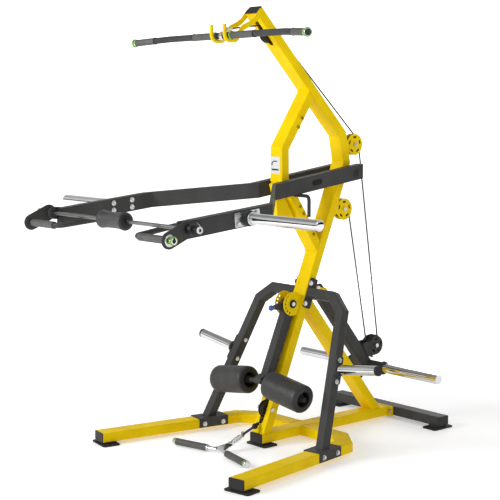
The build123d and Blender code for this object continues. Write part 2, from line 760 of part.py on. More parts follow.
with BuildPart() as arm_shaft:
    along_x(ARM_PIVOT, ARM_OUT, SHAFT_R)
    for side in (-1, 1):
        cylinder(at(side * ARM_OUT, *ARM_PIVOT), at(side * (ARM_OUT + 4), *ARM_PIVOT), 25)
        cylinder(at(side * (ARM_OUT + 4), *ARM_PIVOT), at(side * (ARM_OUT + 14), *ARM_PIVOT), 14)
save(arm_shaft.part, "arm_shaft")


def arm_slope_frame(side):
    """The arm's outer side at the press horn, with its own x along the arm."""
    along = Vector(0, ARM_SPLAY[0] - ARM_FRONT[0], ARM_SPLAY[1] - ARM_FRONT[1])
    return Plane(origin=at(side * ARM_FRONT_OUT, *PRESS_HORN), x_dir=along, z_dir=(side, 0, 0))


def hub_plate(side):
    """A plate on the arm's outer side whose round front end carries the handle rod."""
    x = ARM_FRONT_OUT if side > 0 else -ARM_FRONT_OUT - HUB_PLATE
    tail = (ARM_FRONT[0] + 60, ARM_FRONT[1] + 8)
    run = Vector(tail[0] - ROD_AXIS[0], tail[1] - ROD_AXIS[1])
    with BuildSketch(side_plane(x)) as plate:
        with Locations(Location(((ROD_AXIS[0] + tail[0]) / 2, (ROD_AXIS[1] + tail[1]) / 2, 0),
                                (0, 0, math.degrees(math.atan2(run.Y, run.X))))):
            SlotCenterToCenter(run.length, 2 * HUB_R)
        with Locations(ROD_AXIS):
            Circle(ROD_R + RUNNING_GAP, mode=Mode.SUBTRACT)
    extrude(plate.sketch, amount=HUB_PLATE)


with BuildPart() as arm_plates:
    for side in (-1, 1):
        hub_plate(side)
        frame = arm_slope_frame(side)
        with BuildSketch(frame):
            RectangleRounded(150, 66, 6)
        extrude(amount=HORN_PLATE)
        with BuildSketch(frame.offset(HORN_PLATE)):
            Circle(36)
        extrude(amount=HORN_BOSS)
        for step in (-56, 56):
            for rise in (-18, 18):
                bolt_head(frame.offset(HORN_PLATE).from_local_coords((step, rise, 0)),
                          Vector(side, 0, 0))
save(arm_plates.part, "arm_plates")

with BuildPart() as press_horns:
    for side in (-1, 1):
        pipe(at(side * (ARM_FRONT_OUT + HORN_PLATE + HORN_BOSS), *PRESS_HORN),
             at(side * (PRESS_HORN_END - 12), *PRESS_HORN), HORN_R, HORN_R - 3)
save(press_horns.part, "press_horns")


def horn_plug(end, outward):
    """The rubber end of a weight horn: a rounded disc as wide as the horn, with a spigot."""
    cylinder(end - outward * 12, end, HORN_R)
    cylinder(end - outward * 30, end - outward * 12, HORN_R - 3)


def arm_end_plug(side, y, centre_z, outward):
    """A plastic face that closes one end of a press arm."""
    x = ARM_X if outward > 0 else ARM_SPLAY_X
    with BuildSketch(Plane(origin=at(side * x, y, centre_z), x_dir=(1, 0, 0),
                           z_dir=(0, outward, 0))) as face:
        RectangleRounded(ARM_WIDE, ARM_HIGH, 4)
    extrude(face.sketch, amount=CAP_THICK, taper=12)


with BuildPart() as arm_plugs:
    for side in (-1, 1):
        horn_plug(at(side * PRESS_HORN_END, *PRESS_HORN), Vector(side, 0, 0))
        arm_end_plug(side, ARM_REAR[0], ARM_REAR[1], 1)
        arm_end_plug(side, *ARM_FRONT, -1)
save(arm_plugs.part, "arm_plugs")

with BuildPart() as tube_caps:
    end_cap(at(0, BEAM_FRONT + CAP_THICK, BASE_MID), (0, -1, 0), (1, 0, 0), TUBE_WIDE, TUBE_DEEP)
    for side in (-1, 1):
        first = at(side * LEG_START[0], LEG_START[1], BASE_MID)
        corner = at(side * LEG_CORNER[0], LEG_CORNER[1], BASE_MID)
        out = (first - corner).normalized()
        end_cap(toward(first, corner, CAP_THICK), out, out.cross(Vector(0, 0, 1)),
                TUBE_WIDE, TUBE_DEEP)
        end_cap(at(side * rear_in, REAR_BEAM_Y, rear_z), (side, 0, 0), (0, 1, 0),
                REAR_BEAM_DEEP, TUBE_DEEP)
        start, end = storage_axis(side)
        horn_plug(end, (end - start).normalized())
save(tube_caps.part, "tube_caps")


# Handles ------------------------------------------------------------------------------------

ROLLER_HALF = 96.0
FRONT_ROLLER_R = 44.0
PLATE_THICK = 8.0

with BuildPart() as handle_rod:
    along_x(ROD_AXIS, 638, ROD_R)
    for side in (-1, 1):
        for x in (ROLLER_HALF + 2, ARM_FRONT_OUT + HUB_PLATE + 1):
            pipe(at(side * x, *ROD_AXIS), at(side * (x + 6), *ROD_AXIS), ROD_R + 7, ROD_R)
save(handle_rod.part, "handle_rod")


def handle_bar(side):
    """A link plate that hangs on the rod, and the bent handle bar welded through it."""
    inner = side * HANDLE_PLATE_X if side > 0 else side * HANDLE_PLATE_X - PLATE_THICK
    link = Vector(HANDLE_AXIS[0] - ROD_AXIS[0], HANDLE_AXIS[1] - ROD_AXIS[1])
    middle = ((ROD_AXIS[0] + HANDLE_AXIS[0]) / 2, (ROD_AXIS[1] + HANDLE_AXIS[1]) / 2)
    tilt = math.degrees(math.atan2(link.Y, link.X))
    with BuildSketch(side_plane(inner)) as plate:
        with Locations(Location((*middle, 0), (0, 0, tilt))):
            SlotCenterToCenter(link.length, 76)
        with Locations(ROD_AXIS):
            Circle(ROD_R, mode=Mode.SUBTRACT)
        with Locations(HANDLE_AXIS):
            Circle(HANDLE_R, mode=Mode.SUBTRACT)
    extrude(plate.sketch, amount=PLATE_THICK)
    bent_rod([at(side * (HANDLE_PLATE_X + 22), *HANDLE_AXIS),
              at(side * HANDLE_CORNER_X, *HANDLE_AXIS),
              at(side * HANDLE_END[0], HANDLE_END[1], HANDLE_END[2])], HANDLE_R, 40)


with BuildPart() as handle_bars:
    for side in (-1, 1):
        handle_bar(side)
save(handle_bars.part, "handle_bars")

with BuildPart() as handle_grips:
    for side in (-1, 1):
        corner = at(side * HANDLE_CORNER_X, *HANDLE_AXIS)
        pipe(toward(corner, at(side * HANDLE_PLATE_X, *HANDLE_AXIS), 38),
             at(side * (HANDLE_PLATE_X - 14), *HANDLE_AXIS), GRIP_R, HANDLE_R)
save(handle_grips.part, "handle_grips")

with BuildPart() as front_roller:
    with BuildSketch(Plane(origin=at(0, *ROD_AXIS), x_dir=(1, 0, 0), z_dir=(0, -1, 0))) as section:
        with BuildLine():
            Polyline((-ROLLER_HALF, ROD_R + 0.4), (ROLLER_HALF, ROD_R + 0.4),
                     (ROLLER_HALF, FRONT_ROLLER_R - 8))
            TangentArc((ROLLER_HALF, FRONT_ROLLER_R - 8), (ROLLER_HALF - 8, FRONT_ROLLER_R),
                       tangent=(0, 1))
            Line((ROLLER_HALF - 8, FRONT_ROLLER_R), (-ROLLER_HALF + 8, FRONT_ROLLER_R))
            TangentArc((-ROLLER_HALF + 8, FRONT_ROLLER_R), (-ROLLER_HALF, FRONT_ROLLER_R - 8),
                       tangent=(-1, 0))
            Line((-ROLLER_HALF, FRONT_ROLLER_R - 8), (-ROLLER_HALF, ROD_R + 0.4))
        make_face()
    revolve(section.sketch, axis=Axis(at(0, *ROD_AXIS), (1, 0, 0)))
save(front_roller.part, "front_roller")


# Lat bar ------------------------------------------------------------------------------------

def bar_point(x, forward, up):
    """A point in the lat bar's own turned frame: x along it, forward and up from its middle."""
    turn = math.radians(BAR_YAW)
    return at(x * math.cos(turn) + forward * math.sin(turn),
              BAR_CENTRE[0] + x * math.sin(turn) - forward * math.cos(turn), BAR_CENTRE[1] + up)


BAR_BEND_X = 467.0
BAR_END = (712.0, 62.0, -14.0)
bar_route = [bar_point(-BAR_END[0], *BAR_END[1:]), bar_point(-BAR_BEND_X, 0, 0),
             bar_point(BAR_BEND_X, 0, 0), bar_point(*BAR_END)]

with BuildPart() as lat_bar:
    bent_rod(bar_route, BAR_R, 90)
save(lat_bar.part, "lat_bar")


def bar_end_point(side, distance):
    """A point on the bar's sloping end, at a distance in from its tip."""
    tip = bar_point(side * BAR_END[0], *BAR_END[1:])
    return toward(tip, bar_point(side * BAR_BEND_X, 0, 0), distance)


with BuildPart() as lat_grips:
    for side in (-1, 1):
        pipe(bar_end_point(side, 8), bar_end_point(side, 150), GRIP_R, BAR_R)
        pipe(bar_point(side * 64, 0, 0), bar_point(side * 250, 0, 0), GRIP_R, BAR_R)
save(lat_grips.part, "lat_grips")

EYE_R = 9.0
with BuildPart() as lat_swivel:
    pipe(bar_point(-11, 0, 0), bar_point(11, 0, 0), BAR_R + 6, BAR_R)
    eye = at(0, *BAR_EYE)
    lug = Vector(0, BAR_EYE[0] - BAR_CENTRE[0], BAR_EYE[1] - BAR_CENTRE[1])
    base = at(0, *BAR_CENTRE) + lug.normalized() * (BAR_R + 5.5)
    cylinder(base, eye - lug.normalized() * 2, 6)
    cylinder(eye + Vector(-7, 0, 0), eye + Vector(7, 0, 0), EYE_R)
    run = Vector(0, TAIL[1][0] - TAIL[0][0], TAIL[1][1] - TAIL[0][1]).normalized()
    cylinder(eye, eye + run * 40, 6)
    cylinder(bar_point(-30, 0, 0), bar_point(30, 0, 0), BAR_R, mode=Mode.SUBTRACT)
save(lat_swivel.part, "lat_swivel")

with BuildPart() as lat_tail:
    cylinder(eye + run * 40, at(0, *TAIL[1]), CABLE_R)
save(lat_tail.part, "lat_tail")


# Stop pin -----------------------------------------------------------------------------------

PIN_POINT = BOSSES[2]
PIN_OUT = 152.0

with BuildPart() as stop_pin:
    bent_rod([at(-ARM_OUT - 8, *PIN_POINT), at(PIN_OUT, *PIN_POINT),
              at(PIN_OUT, PIN_POINT[0], PIN_POINT[1] - 105)], PIN_R, 22)
save(stop_pin.part, "stop_pin")


# Lever --------------------------------------------------------------------------------------

LEVER_RUN = Vector(0, LEVER_END[0] - LEVER_TOP[0], LEVER_END[1] - LEVER_TOP[1]).normalized()
LEVER_UP = LEVER_RUN.cross(Vector(-1, 0, 0))
CROSS_WALL = 4.0
LUG_THICK = 10.0

with BuildPart() as lever_tube:
    box_tube([at(0, *LEVER_TOP), at(0, *LEVER_END)], LEVER_WIDE, LEVER_DEEP, (1, 0, 0), corner=5)
    along_x(LEVER_HORN, LEVER_CROSS_HALF, LEVER_CROSS_R, mode=Mode.SUBTRACT)
    along_x(LEVER_HORN, LEVER_CROSS_HALF, LEVER_CROSS_R)
    along_x(LEVER_HORN, LEVER_CROSS_HALF - CROSS_WALL, LEVER_CROSS_R - CROSS_WALL,
            mode=Mode.SUBTRACT)
    pipe(at(-LEVER_WIDE / 2, *LEVER_PIVOT), at(LEVER_WIDE / 2, *LEVER_PIVOT),
         18, AXLE_R + RUNNING_GAP)
    for x in (-LEVER_WIDE / 2, LEVER_WIDE / 2 - LUG_THICK):
        side_plate([(258, 770), (262, 802), (300, 804), (350, 752), (316, 712), (286, 742)],
                   x, LUG_THICK)
    along_x(LEVER_PIVOT, 60, AXLE_R + RUNNING_GAP, mode=Mode.SUBTRACT)
save(lever_tube.part, "lever_tube")

with BuildPart() as lever_horns:
    for side in (-1, 1):
        pipe(at(side * LEVER_CROSS_HALF, *LEVER_HORN), at(side * (LEVER_HORN_END - 12), *LEVER_HORN),
             HORN_R, HORN_R - 3)
save(lever_horns.part, "lever_horns")

with BuildPart() as lever_guards:
    for x in (GUARD_X, -GUARD_X - GUARD_THICK):
        slotted_disc(LEVER_PULLEY, LEVER_GUARD_R, x, GUARD_THICK)
    for x in (LEVER_WIDE / 2, -LEVER_WIDE / 2 - LEVER_PLATE):
        side_plate([(615, 440), (650, 448), (690, 452), (686, 392), (696, 356), (650, 372)], x,
                   LEVER_PLATE)
        slotted_disc(LEVER_PULLEY, LEVER_DISC_R, x, LEVER_PLATE)
    along_x(LEVER_HORN, 80, LEVER_CROSS_R, mode=Mode.SUBTRACT)
    spacer = LEVER_WIDE / 2 - GUARD_X - GUARD_THICK
    for x in (GUARD_X + GUARD_THICK, -LEVER_WIDE / 2):
        cylinder(at(x, *LEVER_PULLEY), at(x + spacer, *LEVER_PULLEY), 12)
    along_x(LEVER_PULLEY, 80, AXLE_R, mode=Mode.SUBTRACT)
save(lever_guards.part, "lever_guards")

with BuildPart() as lever_trim:
    axle(LEVER_PULLEY, LEVER_WIDE / 2 + 6)
    for side in (-1, 1):
        horn_plug(at(side * LEVER_HORN_END, *LEVER_HORN), Vector(side, 0, 0))
save(lever_trim.part, "lever_trim")

with BuildPart() as lever_stop:
    foot = at(0, *LEVER_HORN)
    face = at(0, *BRACE_TOP) + LEVER_UP * (TUBE_DEEP / 2)
    drop = (foot - face).dot(LEVER_UP)
    cylinder(foot - LEVER_UP * drop, foot - LEVER_UP * (LEVER_CROSS_R + 0.6), 20)
save(lever_stop.part, "lever_stop")


# Leg developer ------------------------------------------------------------------------------

DROOP = math.radians(LEG_DROOP)
ROLLER_IN = 80.0
ROLLER_OUT = 327.0
LEG_AXLE_R = 12.0


def roller_point(side, x):
    """A point on a leg roller's drooping axle, x out from the middle."""
    return at(side * x, LEG_ROLLER_Y, LEG_ROLLER_Z - x * math.tan(DROOP))


with BuildPart() as leg_lever:
    box_tube([at(0, 89, 700), at(0, -58, 352)], 50, 54, (1, 0, 0), corner=5)
    side_plate([(-84, 368), (-122, 354), (-130, 326), (-52, 304), (-30, 348)], -25, 50)
    pipe(at(-25, *LEG_PIVOT), at(25, *LEG_PIVOT), 26, AXLE_R + RUNNING_GAP)
    side_plate([(66, 734), (-8, 716), (-8, 694), (60, 680)], -10, 20)
    along_x(LEG_PIVOT, 60, 26, mode=Mode.SUBTRACT)
    pipe(at(-25, *LEG_PIVOT), at(25, *LEG_PIVOT), 26, AXLE_R + RUNNING_GAP)
    cylinder(at(0, -10, 705), at(0, 44, 705), 6, mode=Mode.SUBTRACT)
    for side in (-1, 1):
        cylinder(roller_point(side, 4), roller_point(side, ROLLER_OUT + 8), LEG_AXLE_R)
save(leg_lever.part, "leg_lever")


def leg_roller(side):
    """A foam roller with a wide bore that turns on its axle."""
    start, end = roller_point(side, ROLLER_IN), roller_point(side, ROLLER_OUT)
    with BuildPart() as roller:
        cylinder(start, end, ROLLER_R)
        fillet(roller.edges(), 10)
        cylinder(start, end, LEG_AXLE_R + 0.4, mode=Mode.SUBTRACT)
    return roller.part


save(leg_roller(-1), "leg_roller_left")
save(leg_roller(1), "leg_roller_right")

with BuildPart() as leg_pull_pin:
    cylinder(at(0, -22, 705), at(0, 40, 705), 6 - RUNNING_GAP)
    with Locations(at(0, -30, 705)):
        Sphere(15)
save(leg_pull_pin.part, "leg_pull_pin")


# Low row ------------------------------------------------------------------------------------

ROW_HUB = (0.0, -300.0, 40.0)
BALL_R = 15.0

with BuildPart() as row_cable:
    cylinder(at(0, *ROW_RUN[0]), toward(at(0, *ROW_BALL), at(0, *ROW_RUN[0]), BALL_R - 1), CABLE_R)
    with Locations(at(0, *ROW_BALL)):
        Sphere(BALL_R, mode=Mode.SUBTRACT)
save(row_cable.part, "row_cable")

with BuildPart() as row_ball:
    with Locations(at(0, *ROW_BALL)):
        Sphere(BALL_R)
save(row_ball.part, "row_ball")

with BuildPart() as row_strap:
    ball_out = Vector(0, ROW_CLIP[0] - ROW_BALL[0], ROW_CLIP[1] - ROW_BALL[1]).normalized()
    strap_start = at(0, *ROW_BALL) + ball_out * (BALL_R - 2)
    with BuildSketch(Plane(origin=strap_start, x_dir=(1, 0, 0), z_dir=ball_out)):
        RectangleRounded(20, 5, 2)
    extrude(amount=(at(0, *ROW_CLIP) - strap_start).length)
    with Locations(at(0, *ROW_BALL)):
        Sphere(BALL_R, mode=Mode.SUBTRACT)
save(row_strap.part, "row_strap")


ROW_BAR_R = 11.0


def row_bar(side):
    """The inner and outer end of one arm of the row handle."""
    return at(side * 20, -379, 20), at(side * 290, -440, 20)


with BuildPart() as row_handle:
    clip_end = at(0, *ROW_CLIP)
    hub = at(0, ROW_HUB[1], ROW_HUB[2])
    cylinder(toward(clip_end, hub, 3), hub, 5)
    cylinder(hub + Vector(-14, 0, 0), hub + Vector(14, 0, 0), 9)
    plate_run = at(0, -386, 20) - hub
    plate_plane = Plane(origin=hub, x_dir=plate_run, z_dir=plate_run.cross(Vector(1, 0, 0)))
    with BuildSketch(plate_plane) as plate:
        with BuildLine():
            Polyline((0, -12), (0, 12), (88, 48), (88, -48), close=True)
        make_face()
    extrude(plate.sketch, amount=4, both=True)
    for side in (-1, 1):
        cylinder(*row_bar(side), ROW_BAR_R)
save(row_handle.part, "row_handle")

with BuildPart() as row_grips:
    for side in (-1, 1):
        inner, outer = row_bar(side)
        pipe(toward(inner, outer, 60), toward(outer, inner, 6), GRIP_R, ROW_BAR_R)
save(row_grips.part, "row_grips")

with BuildPart() as frame_bolts:
    for side in (-1, 1):
        out = Vector(side, 0, 0)
        bolt_head(at(side * (TUBE_WIDE / 2 + ARCH_PLATE), 219 - 22, 818), out)
        bolt_head(at(side * (TUBE_WIDE / 2 + ARCH_PLATE), 178 - 22, 716), out)
        outer = saddle_frame(side)
        for step in (-56, 56):
            bolt_head(outer.from_local_coords((step, 2, SADDLE_THICK)), outer.z_dir)
            inner = outer.from_local_coords((step, 2, -TUBE_WIDE - SADDLE_THICK))
            bolt_head(inner, outer.z_dir * -1)
        bolt_head(at(side * (TUBE_WIDE / 2 + 14), REAR_BEAM_Y - 54.5, BASE_MID), Vector(0, -1, 0))
save(frame_bolts.part, "frame_bolts")
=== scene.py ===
import math
import bpy
import bmesh
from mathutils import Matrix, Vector


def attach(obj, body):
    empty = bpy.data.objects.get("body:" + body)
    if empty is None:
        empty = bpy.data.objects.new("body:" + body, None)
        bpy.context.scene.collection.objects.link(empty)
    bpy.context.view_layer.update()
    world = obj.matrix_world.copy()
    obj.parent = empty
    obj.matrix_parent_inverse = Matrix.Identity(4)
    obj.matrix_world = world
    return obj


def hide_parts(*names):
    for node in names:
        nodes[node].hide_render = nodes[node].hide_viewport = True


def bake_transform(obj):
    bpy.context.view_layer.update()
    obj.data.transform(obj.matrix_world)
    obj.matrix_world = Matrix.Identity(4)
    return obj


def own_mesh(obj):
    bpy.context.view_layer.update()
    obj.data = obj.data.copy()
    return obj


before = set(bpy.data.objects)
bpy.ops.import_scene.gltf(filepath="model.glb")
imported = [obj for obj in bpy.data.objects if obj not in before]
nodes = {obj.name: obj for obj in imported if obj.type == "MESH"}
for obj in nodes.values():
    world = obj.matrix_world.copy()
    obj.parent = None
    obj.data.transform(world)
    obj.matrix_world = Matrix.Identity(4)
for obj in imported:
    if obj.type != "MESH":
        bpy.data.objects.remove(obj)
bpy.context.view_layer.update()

X = Vector((1, 0, 0))
Y = Vector((0, 1, 0))
Z = Vector((0, 0, 1))

# Side places are (y, z) pairs in millimetres; y is measured from the upright's front face, which
# stands at FACE_Y.
FACE_Y = 104.5
ROD_AXIS = (-1003, 1217)
HANDLE_AXIS = (-1103, 1174)
LAT_BAR = (-343, 2075)
PRESS_HORN = (-627.5, 1238)
ARM_REAR = (588, 1399.75)
ARM_SPLAY = (-460, 1255.5)
ARM_FRONT = (-985, 1203)
LEG_PIVOT = (88, 718)
LEVER_HORN = (682, 314)
MAST_FOOT = (-106, 40)
MAST_TOP = (-152, 2205)
POST_LOW = (25.5, 1361.7)
POST_HIGH = (25.5, 1522.2)
BRACE_TOP = (218.9, 685)

SIDES = ((-1, "left"), (1, "right"))


def at(x, y, z):
    """A point of the machine in metres, from millimetres with y measured from the upright's face."""
    return Vector((x / 1000, (y + FACE_Y) / 1000, z / 1000))


# Camera -------------------------------------------------------------------------------------

CAMERA_PLACE = (4.8447, -4.2513, 1.7562)
CAMERA_DOWN = 6.6
CAMERA_TURN = 49.2

camera_data = bpy.data.cameras.new("camera")
camera_data.sensor_width = 36
camera_data.lens = 92.2
camera_data.clip_end = 60
camera = bpy.data.objects.new("camera", camera_data)
camera.location = CAMERA_PLACE
camera.rotation_euler = (math.radians(90 - CAMERA_DOWN), 0, math.radians(CAMERA_TURN))
bpy.context.scene.collection.objects.link(camera)
bpy.context.scene.camera = camera


# Materials ----------------------------------------------------------------------------------

class Finish:
    """A node material with helpers that wire noise and waves into colour, roughness and bump."""

    def __init__(self, name, colour, rough, metallic=0.0):
        self.material = bpy.data.materials.new(name)
        self.material.use_nodes = True
        self.material.diffuse_color = (*colour, 1)
        self.tree = self.material.node_tree
        self.shader = self.tree.nodes["Principled BSDF"]
        self.shader.inputs["Base Color"].default_value = (*colour, 1)
        self.shader.inputs["Metallic"].default_value = metallic
        self.shader.inputs["Roughness"].default_value = rough
        self.place = self.tree.nodes.new("ShaderNodeTexCoord").outputs["Object"]
        self.normal = None

    def add(self, kind, **values):
        node = self.tree.nodes.new(kind)
        for key, value in values.items():
            if key in node.inputs:
                node.inputs[key].default_value = value
            else:
                setattr(node, key, value)
        return node

    def link(self, output, socket):
        self.tree.links.new(output, socket)

    def noise(self, scale, detail, stretch=None):
        source = self.place
        if stretch:
            mapping = self.add("ShaderNodeMapping")
            mapping.inputs["Scale"].default_value = stretch
            self.link(source, mapping.inputs["Vector"])
            source = mapping.outputs["Vector"]
        node = self.add("ShaderNodeTexNoise", Scale=scale, Detail=detail)
        self.link(source, node.inputs["Vector"])
        return node.outputs["Fac"]

    def wave(self, scale, distortion, turn):
        turned = self.add("ShaderNodeMapping")
        turned.inputs["Rotation"].default_value = turn
        self.link(self.place, turned.inputs["Vector"])
        node = self.add("ShaderNodeTexWave", Scale=scale, Distortion=distortion)
        self.link(turned.outputs["Vector"], node.inputs["Vector"])
        return node.outputs["Fac"]

    def combine(self, operation, first, second):
        node = self.add("ShaderNodeMath", operation=operation)
        self.link(first, node.inputs[0])
        self.link(second, node.inputs[1])
        return node.outputs["Value"]

    def ramp(self, factor, low, high, first, last):
        node = self.add("ShaderNodeMapRange")
        node.inputs["From Min"].default_value = low
        node.inputs["From Max"].default_value = high
        node.inputs["To Min"].default_value = first
        node.inputs["To Max"].default_value = last
        self.link(factor, node.inputs["Value"])
        return node.outputs["Result"]

    def colours(self, factor, *stops):
        node = self.add("ShaderNodeValToRGB")
        elements = node.color_ramp.elements
        while len(elements) < len(stops):
            elements.new(0.5)
        for element, (place, colour) in zip(elements, stops):
            element.position = place
            element.color = (*colour, 1)
        self.link(factor, node.inputs["Fac"])
        self.link(node.outputs["Color"], self.shader.inputs["Base Color"])

    def roughness(self, factor, low, high):
        self.link(self.ramp(factor, 0.3, 0.7, low, high), self.shader.inputs["Roughness"])

    def soften(self, radius):
        node = self.add("ShaderNodeBevel", Radius=radius, samples=4)
        self.normal = node.outputs["Normal"]
        self.link(self.normal, self.shader.inputs["Normal"])

    def bump(self, height, strength, distance):
        node = self.add("ShaderNodeBump", Strength=strength, Distance=distance)
        self.link(height, node.inputs["Height"])
        if self.normal:
            self.link(self.normal, node.inputs["Normal"])
        self.normal = node.outputs["Normal"]
        self.link(self.normal, self.shader.inputs["Normal"])


def powder_coat(name, dark, mid, light, rough, edge):
    """Powder coat: cloudy colour, orange peel, and edges that catch the light."""
    paint = Finish(name, mid, rough)
    paint.colours(paint.noise(7.0, 4.0), (0.25, dark), (0.5, mid), (0.78, light))
    paint.roughness(paint.noise(45.0, 5.0), rough - 0.06, rough + 0.08)
    paint.soften(edge)
    paint.bump(paint.noise(420.0, 2.0), 0.18, 0.0004)
    paint.bump(paint.noise(38.0, 2.0), 0.05, 0.001)
    paint.shader.inputs["Specular IOR Level"].default_value = 0.07
    return paint.material


def metal(name, colour, rough, grain=(1, 1, 1), scratch=900.0, strength=0.06):
    """Polished or plated metal with fine scratches drawn along a direction."""
    plate = Finish(name, colour, rough, 1.0)
    low = tuple(channel * 0.90 for channel in colour)
    plate.colours(plate.noise(12.0, 4.0), (0.3, low), (0.7, colour))
    plate.roughness(plate.noise(60.0, 6.0, grain), rough * 0.7, rough * 1.5)
    plate.bump(plate.noise(scratch, 2.0, grain), strength, 0.0002)
    return plate.material


def moulded(name, colour, rough, grain=650.0, strength=0.2, pale=1.35, edge=0.0012):
    """Moulded plastic or rubber: fine grain, a little dust and rounded edges."""
    piece = Finish(name, colour, rough)
    high = tuple(channel * pale + 0.004 for channel in colour)
    piece.colours(piece.noise(18.0, 5.0), (0.35, colour), (0.8, high))
    piece.roughness(piece.noise(70.0, 4.0), rough - 0.05, rough + 0.1)
    piece.soften(edge)
    piece.bump(piece.noise(grain, 3.0), strength, 0.0005)
    piece.shader.inputs["Specular IOR Level"].default_value = 0.3
    return piece.material


yellow = powder_coat("yellow_coat", (0.76, 0.52, 0.0), (0.83, 0.58, 0.0), (0.89, 0.64, 0.001),
                     0.42, 0.0035)
black = powder_coat("black_coat", (0.046, 0.046, 0.045), (0.057, 0.057, 0.056),
                    (0.068, 0.068, 0.066), 0.44, 0.0030)
chrome = metal("chrome_plate", (0.74, 0.745, 0.755), 0.055, (0.06, 1, 1), 500.0, 0.006)
mirror_chrome = metal("horn_mirror", (0.74, 0.745, 0.755), 0.05, (0.06, 1, 1), 300.0, 0.002)
zinc = metal("zinc_plate", (0.66, 0.67, 0.68), 0.28, (1, 1, 1), 1300.0, 0.12)
bar_grey = powder_coat("bar_grey", (0.040, 0.040, 0.041), (0.052, 0.052, 0.053),
                       (0.064, 0.064, 0.065), 0.46, 0.0010)
gunmetal = metal("dark_steel", (0.20, 0.20, 0.205), 0.34, (0.15, 1, 1), 800.0, 0.08)
plastic = moulded("black_plastic", (0.010, 0.010, 0.010), 0.46)
# Jet-black plastic, which also serves as painted shade: on the rod's end a black disc stands for the
# dark inside of the hole.
deep_black_and_shade = moulded("deep_black_and_painted_shade", (0.0022, 0.0022, 0.0022), 0.62, 500.0, 0.10)
pulley_plastic = moulded("pulley_nylon", (0.013, 0.013, 0.014), 0.36, 420.0, 0.10)
pale = moulded("pale_plastic", (0.62, 0.63, 0.62), 0.35, 700.0, 0.10, 1.08)
floor_rubber = moulded("foot_rubber", (0.016, 0.016, 0.016), 0.72, 300.0, 0.35, 1.7, 0.003)
green = moulded("green_ring", (0.16, 0.42, 0.03), 0.38, 700.0, 0.10, 1.1)
blue = moulded("blue_knob", (0.008, 0.075, 0.30), 0.16, 500.0, 0.04, 1.15)
blue.node_tree.nodes["Principled BSDF"].inputs["Coat Weight"].default_value = 0.6


def foam_skin():
    """Closed-cell foam: a pebbled dull skin with scuffs and faint mould marks."""
    foam = Finish("foam_skin", (0.018, 0.018, 0.018), 0.50)
    foam.colours(foam.noise(9.0, 6.0), (0.30, (0.013, 0.013, 0.013)), (0.55, (0.019, 0.019, 0.019)),
                 (0.85, (0.030, 0.030, 0.029)))
    foam.roughness(foam.noise(30.0, 5.0), 0.42, 0.60)
    cell = foam.add("ShaderNodeTexVoronoi", Scale=520.0)
    foam.link(foam.place, cell.inputs["Vector"])
    foam.bump(cell.outputs["Distance"], 0.35, 0.0006)
    foam.bump(foam.noise(28.0, 3.0), 0.22, 0.0016)
    foam.shader.inputs["Sheen Weight"].default_value = 0.06
    foam.shader.inputs["Sheen Roughness"].default_value = 0.5
    return foam.material


def grip_skin():
    """A rubber hand grip with a fine diamond knurl from two crossed waves."""
    grip = Finish("grip_rubber", (0.070, 0.068, 0.066), 0.58)
    grip.colours(grip.noise(22.0, 5.0), (0.3, (0.055, 0.054, 0.052)), (0.8, (0.095, 0.092, 0.088)))
    waves = [grip.wave(95.0, 0.0, (0, lean, lean)) for lean in (0.7, -0.7)]
    grip.roughness(grip.noise(80.0, 4.0), 0.50, 0.70)
    grip.bump(grip.combine("MULTIPLY", *waves), 0.35, 0.0006)
    return grip.material


def rope_skin():
    """A wire rope in a black sleeve: the strands show as a fine slanted ripple, with painted shade in
    the grooves between them.
    """
    rope = Finish("cable_sleeve", (0.020, 0.020, 0.022), 0.30)
    strands = rope.wave(110.0, 0.5, (0.6, 0.0, 0.9))
    # Painted shade: the colour follows the ripple, darker in the grooves between the strands.
    rope.colours(strands, (0.2, (0.014, 0.014, 0.015)), (0.9, (0.045, 0.045, 0.050)))
    rope.bump(strands, 0.30, 0.0004)
    return rope.material


def web_skin():
    """Woven black webbing, with painted shade in the gaps between its threads."""
    web = Finish("strap_web", (0.022, 0.022, 0.023), 0.82)
    threads = [web.wave(160.0, 0.3, (0, 0, turn)) for turn in (0, math.pi / 2)]
    weave_and_gap_shade = web.combine("MAXIMUM", *threads)
    # Painted shade: the colour follows the weave's relief, darker in the gaps between the threads.
    web.colours(weave_and_gap_shade, (0.3, (0.012, 0.012, 0.013)), (0.9, (0.046, 0.046, 0.048)))
    web.bump(weave_and_gap_shade, 0.5, 0.0007)
    return web.material


foam = foam_skin()
grip = grip_skin()
rope = rope_skin()
web = web_skin()


# Mesh helpers -------------------------------------------------------------------------------

AXIS_GAP = 0.05
SMOOTH_ANGLE = 38


def make_object(name, mesh, material, body):
    """Link a finished mesh with its material; without a body it is left unattached."""
    for polygon in mesh.polygons:
        polygon.use_smooth = True
    mesh.set_sharp_from_angle(angle=math.radians(SMOOTH_ANGLE))
    mesh.materials.append(material)
    piece = bpy.data.objects.new(name, mesh)
    bpy.context.scene.collection.objects.link(piece)
    if body:
        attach(piece, body)
    return piece


def mesh_from(name, vertices, faces):
    """A mesh with outward normals."""
    mesh = bpy.data.meshes.new(name)
    mesh.from_pydata([tuple(v) for v in vertices], [], faces)
    shape = bmesh.new()
    shape.from_mesh(mesh)
    bmesh.ops.recalc_face_normals(shape, faces=shape.faces)
    shape.to_mesh(mesh)
    shape.free()
    return mesh


def turn_frame(axis):
    """Two directions square to an axis."""
    axis = axis.normalized()
    side = axis.cross(Z)
    if side.length < 0.1:
        side = axis.cross(Y)
    side.normalize()
    return side, axis.cross(side)


def lathe_data(profile, origin, axis, steps):
    """Vertices and faces of a closed ring turned from (along, radius) points in mm.

    A point on the axis is kept a hair off it."""
    side, up = turn_frame(axis)
    axis = axis.normalized()
    vertices = []
    for along, radius in profile:
        radius = max(radius, AXIS_GAP)
        for step in range(steps):
            angle = 2 * math.pi * step / steps
            spoke = side * math.cos(angle) + up * math.sin(angle)
            vertices.append(origin + axis * (along / 1000) + spoke * (radius / 1000))
    return vertices, band_faces(len(profile), steps, True)


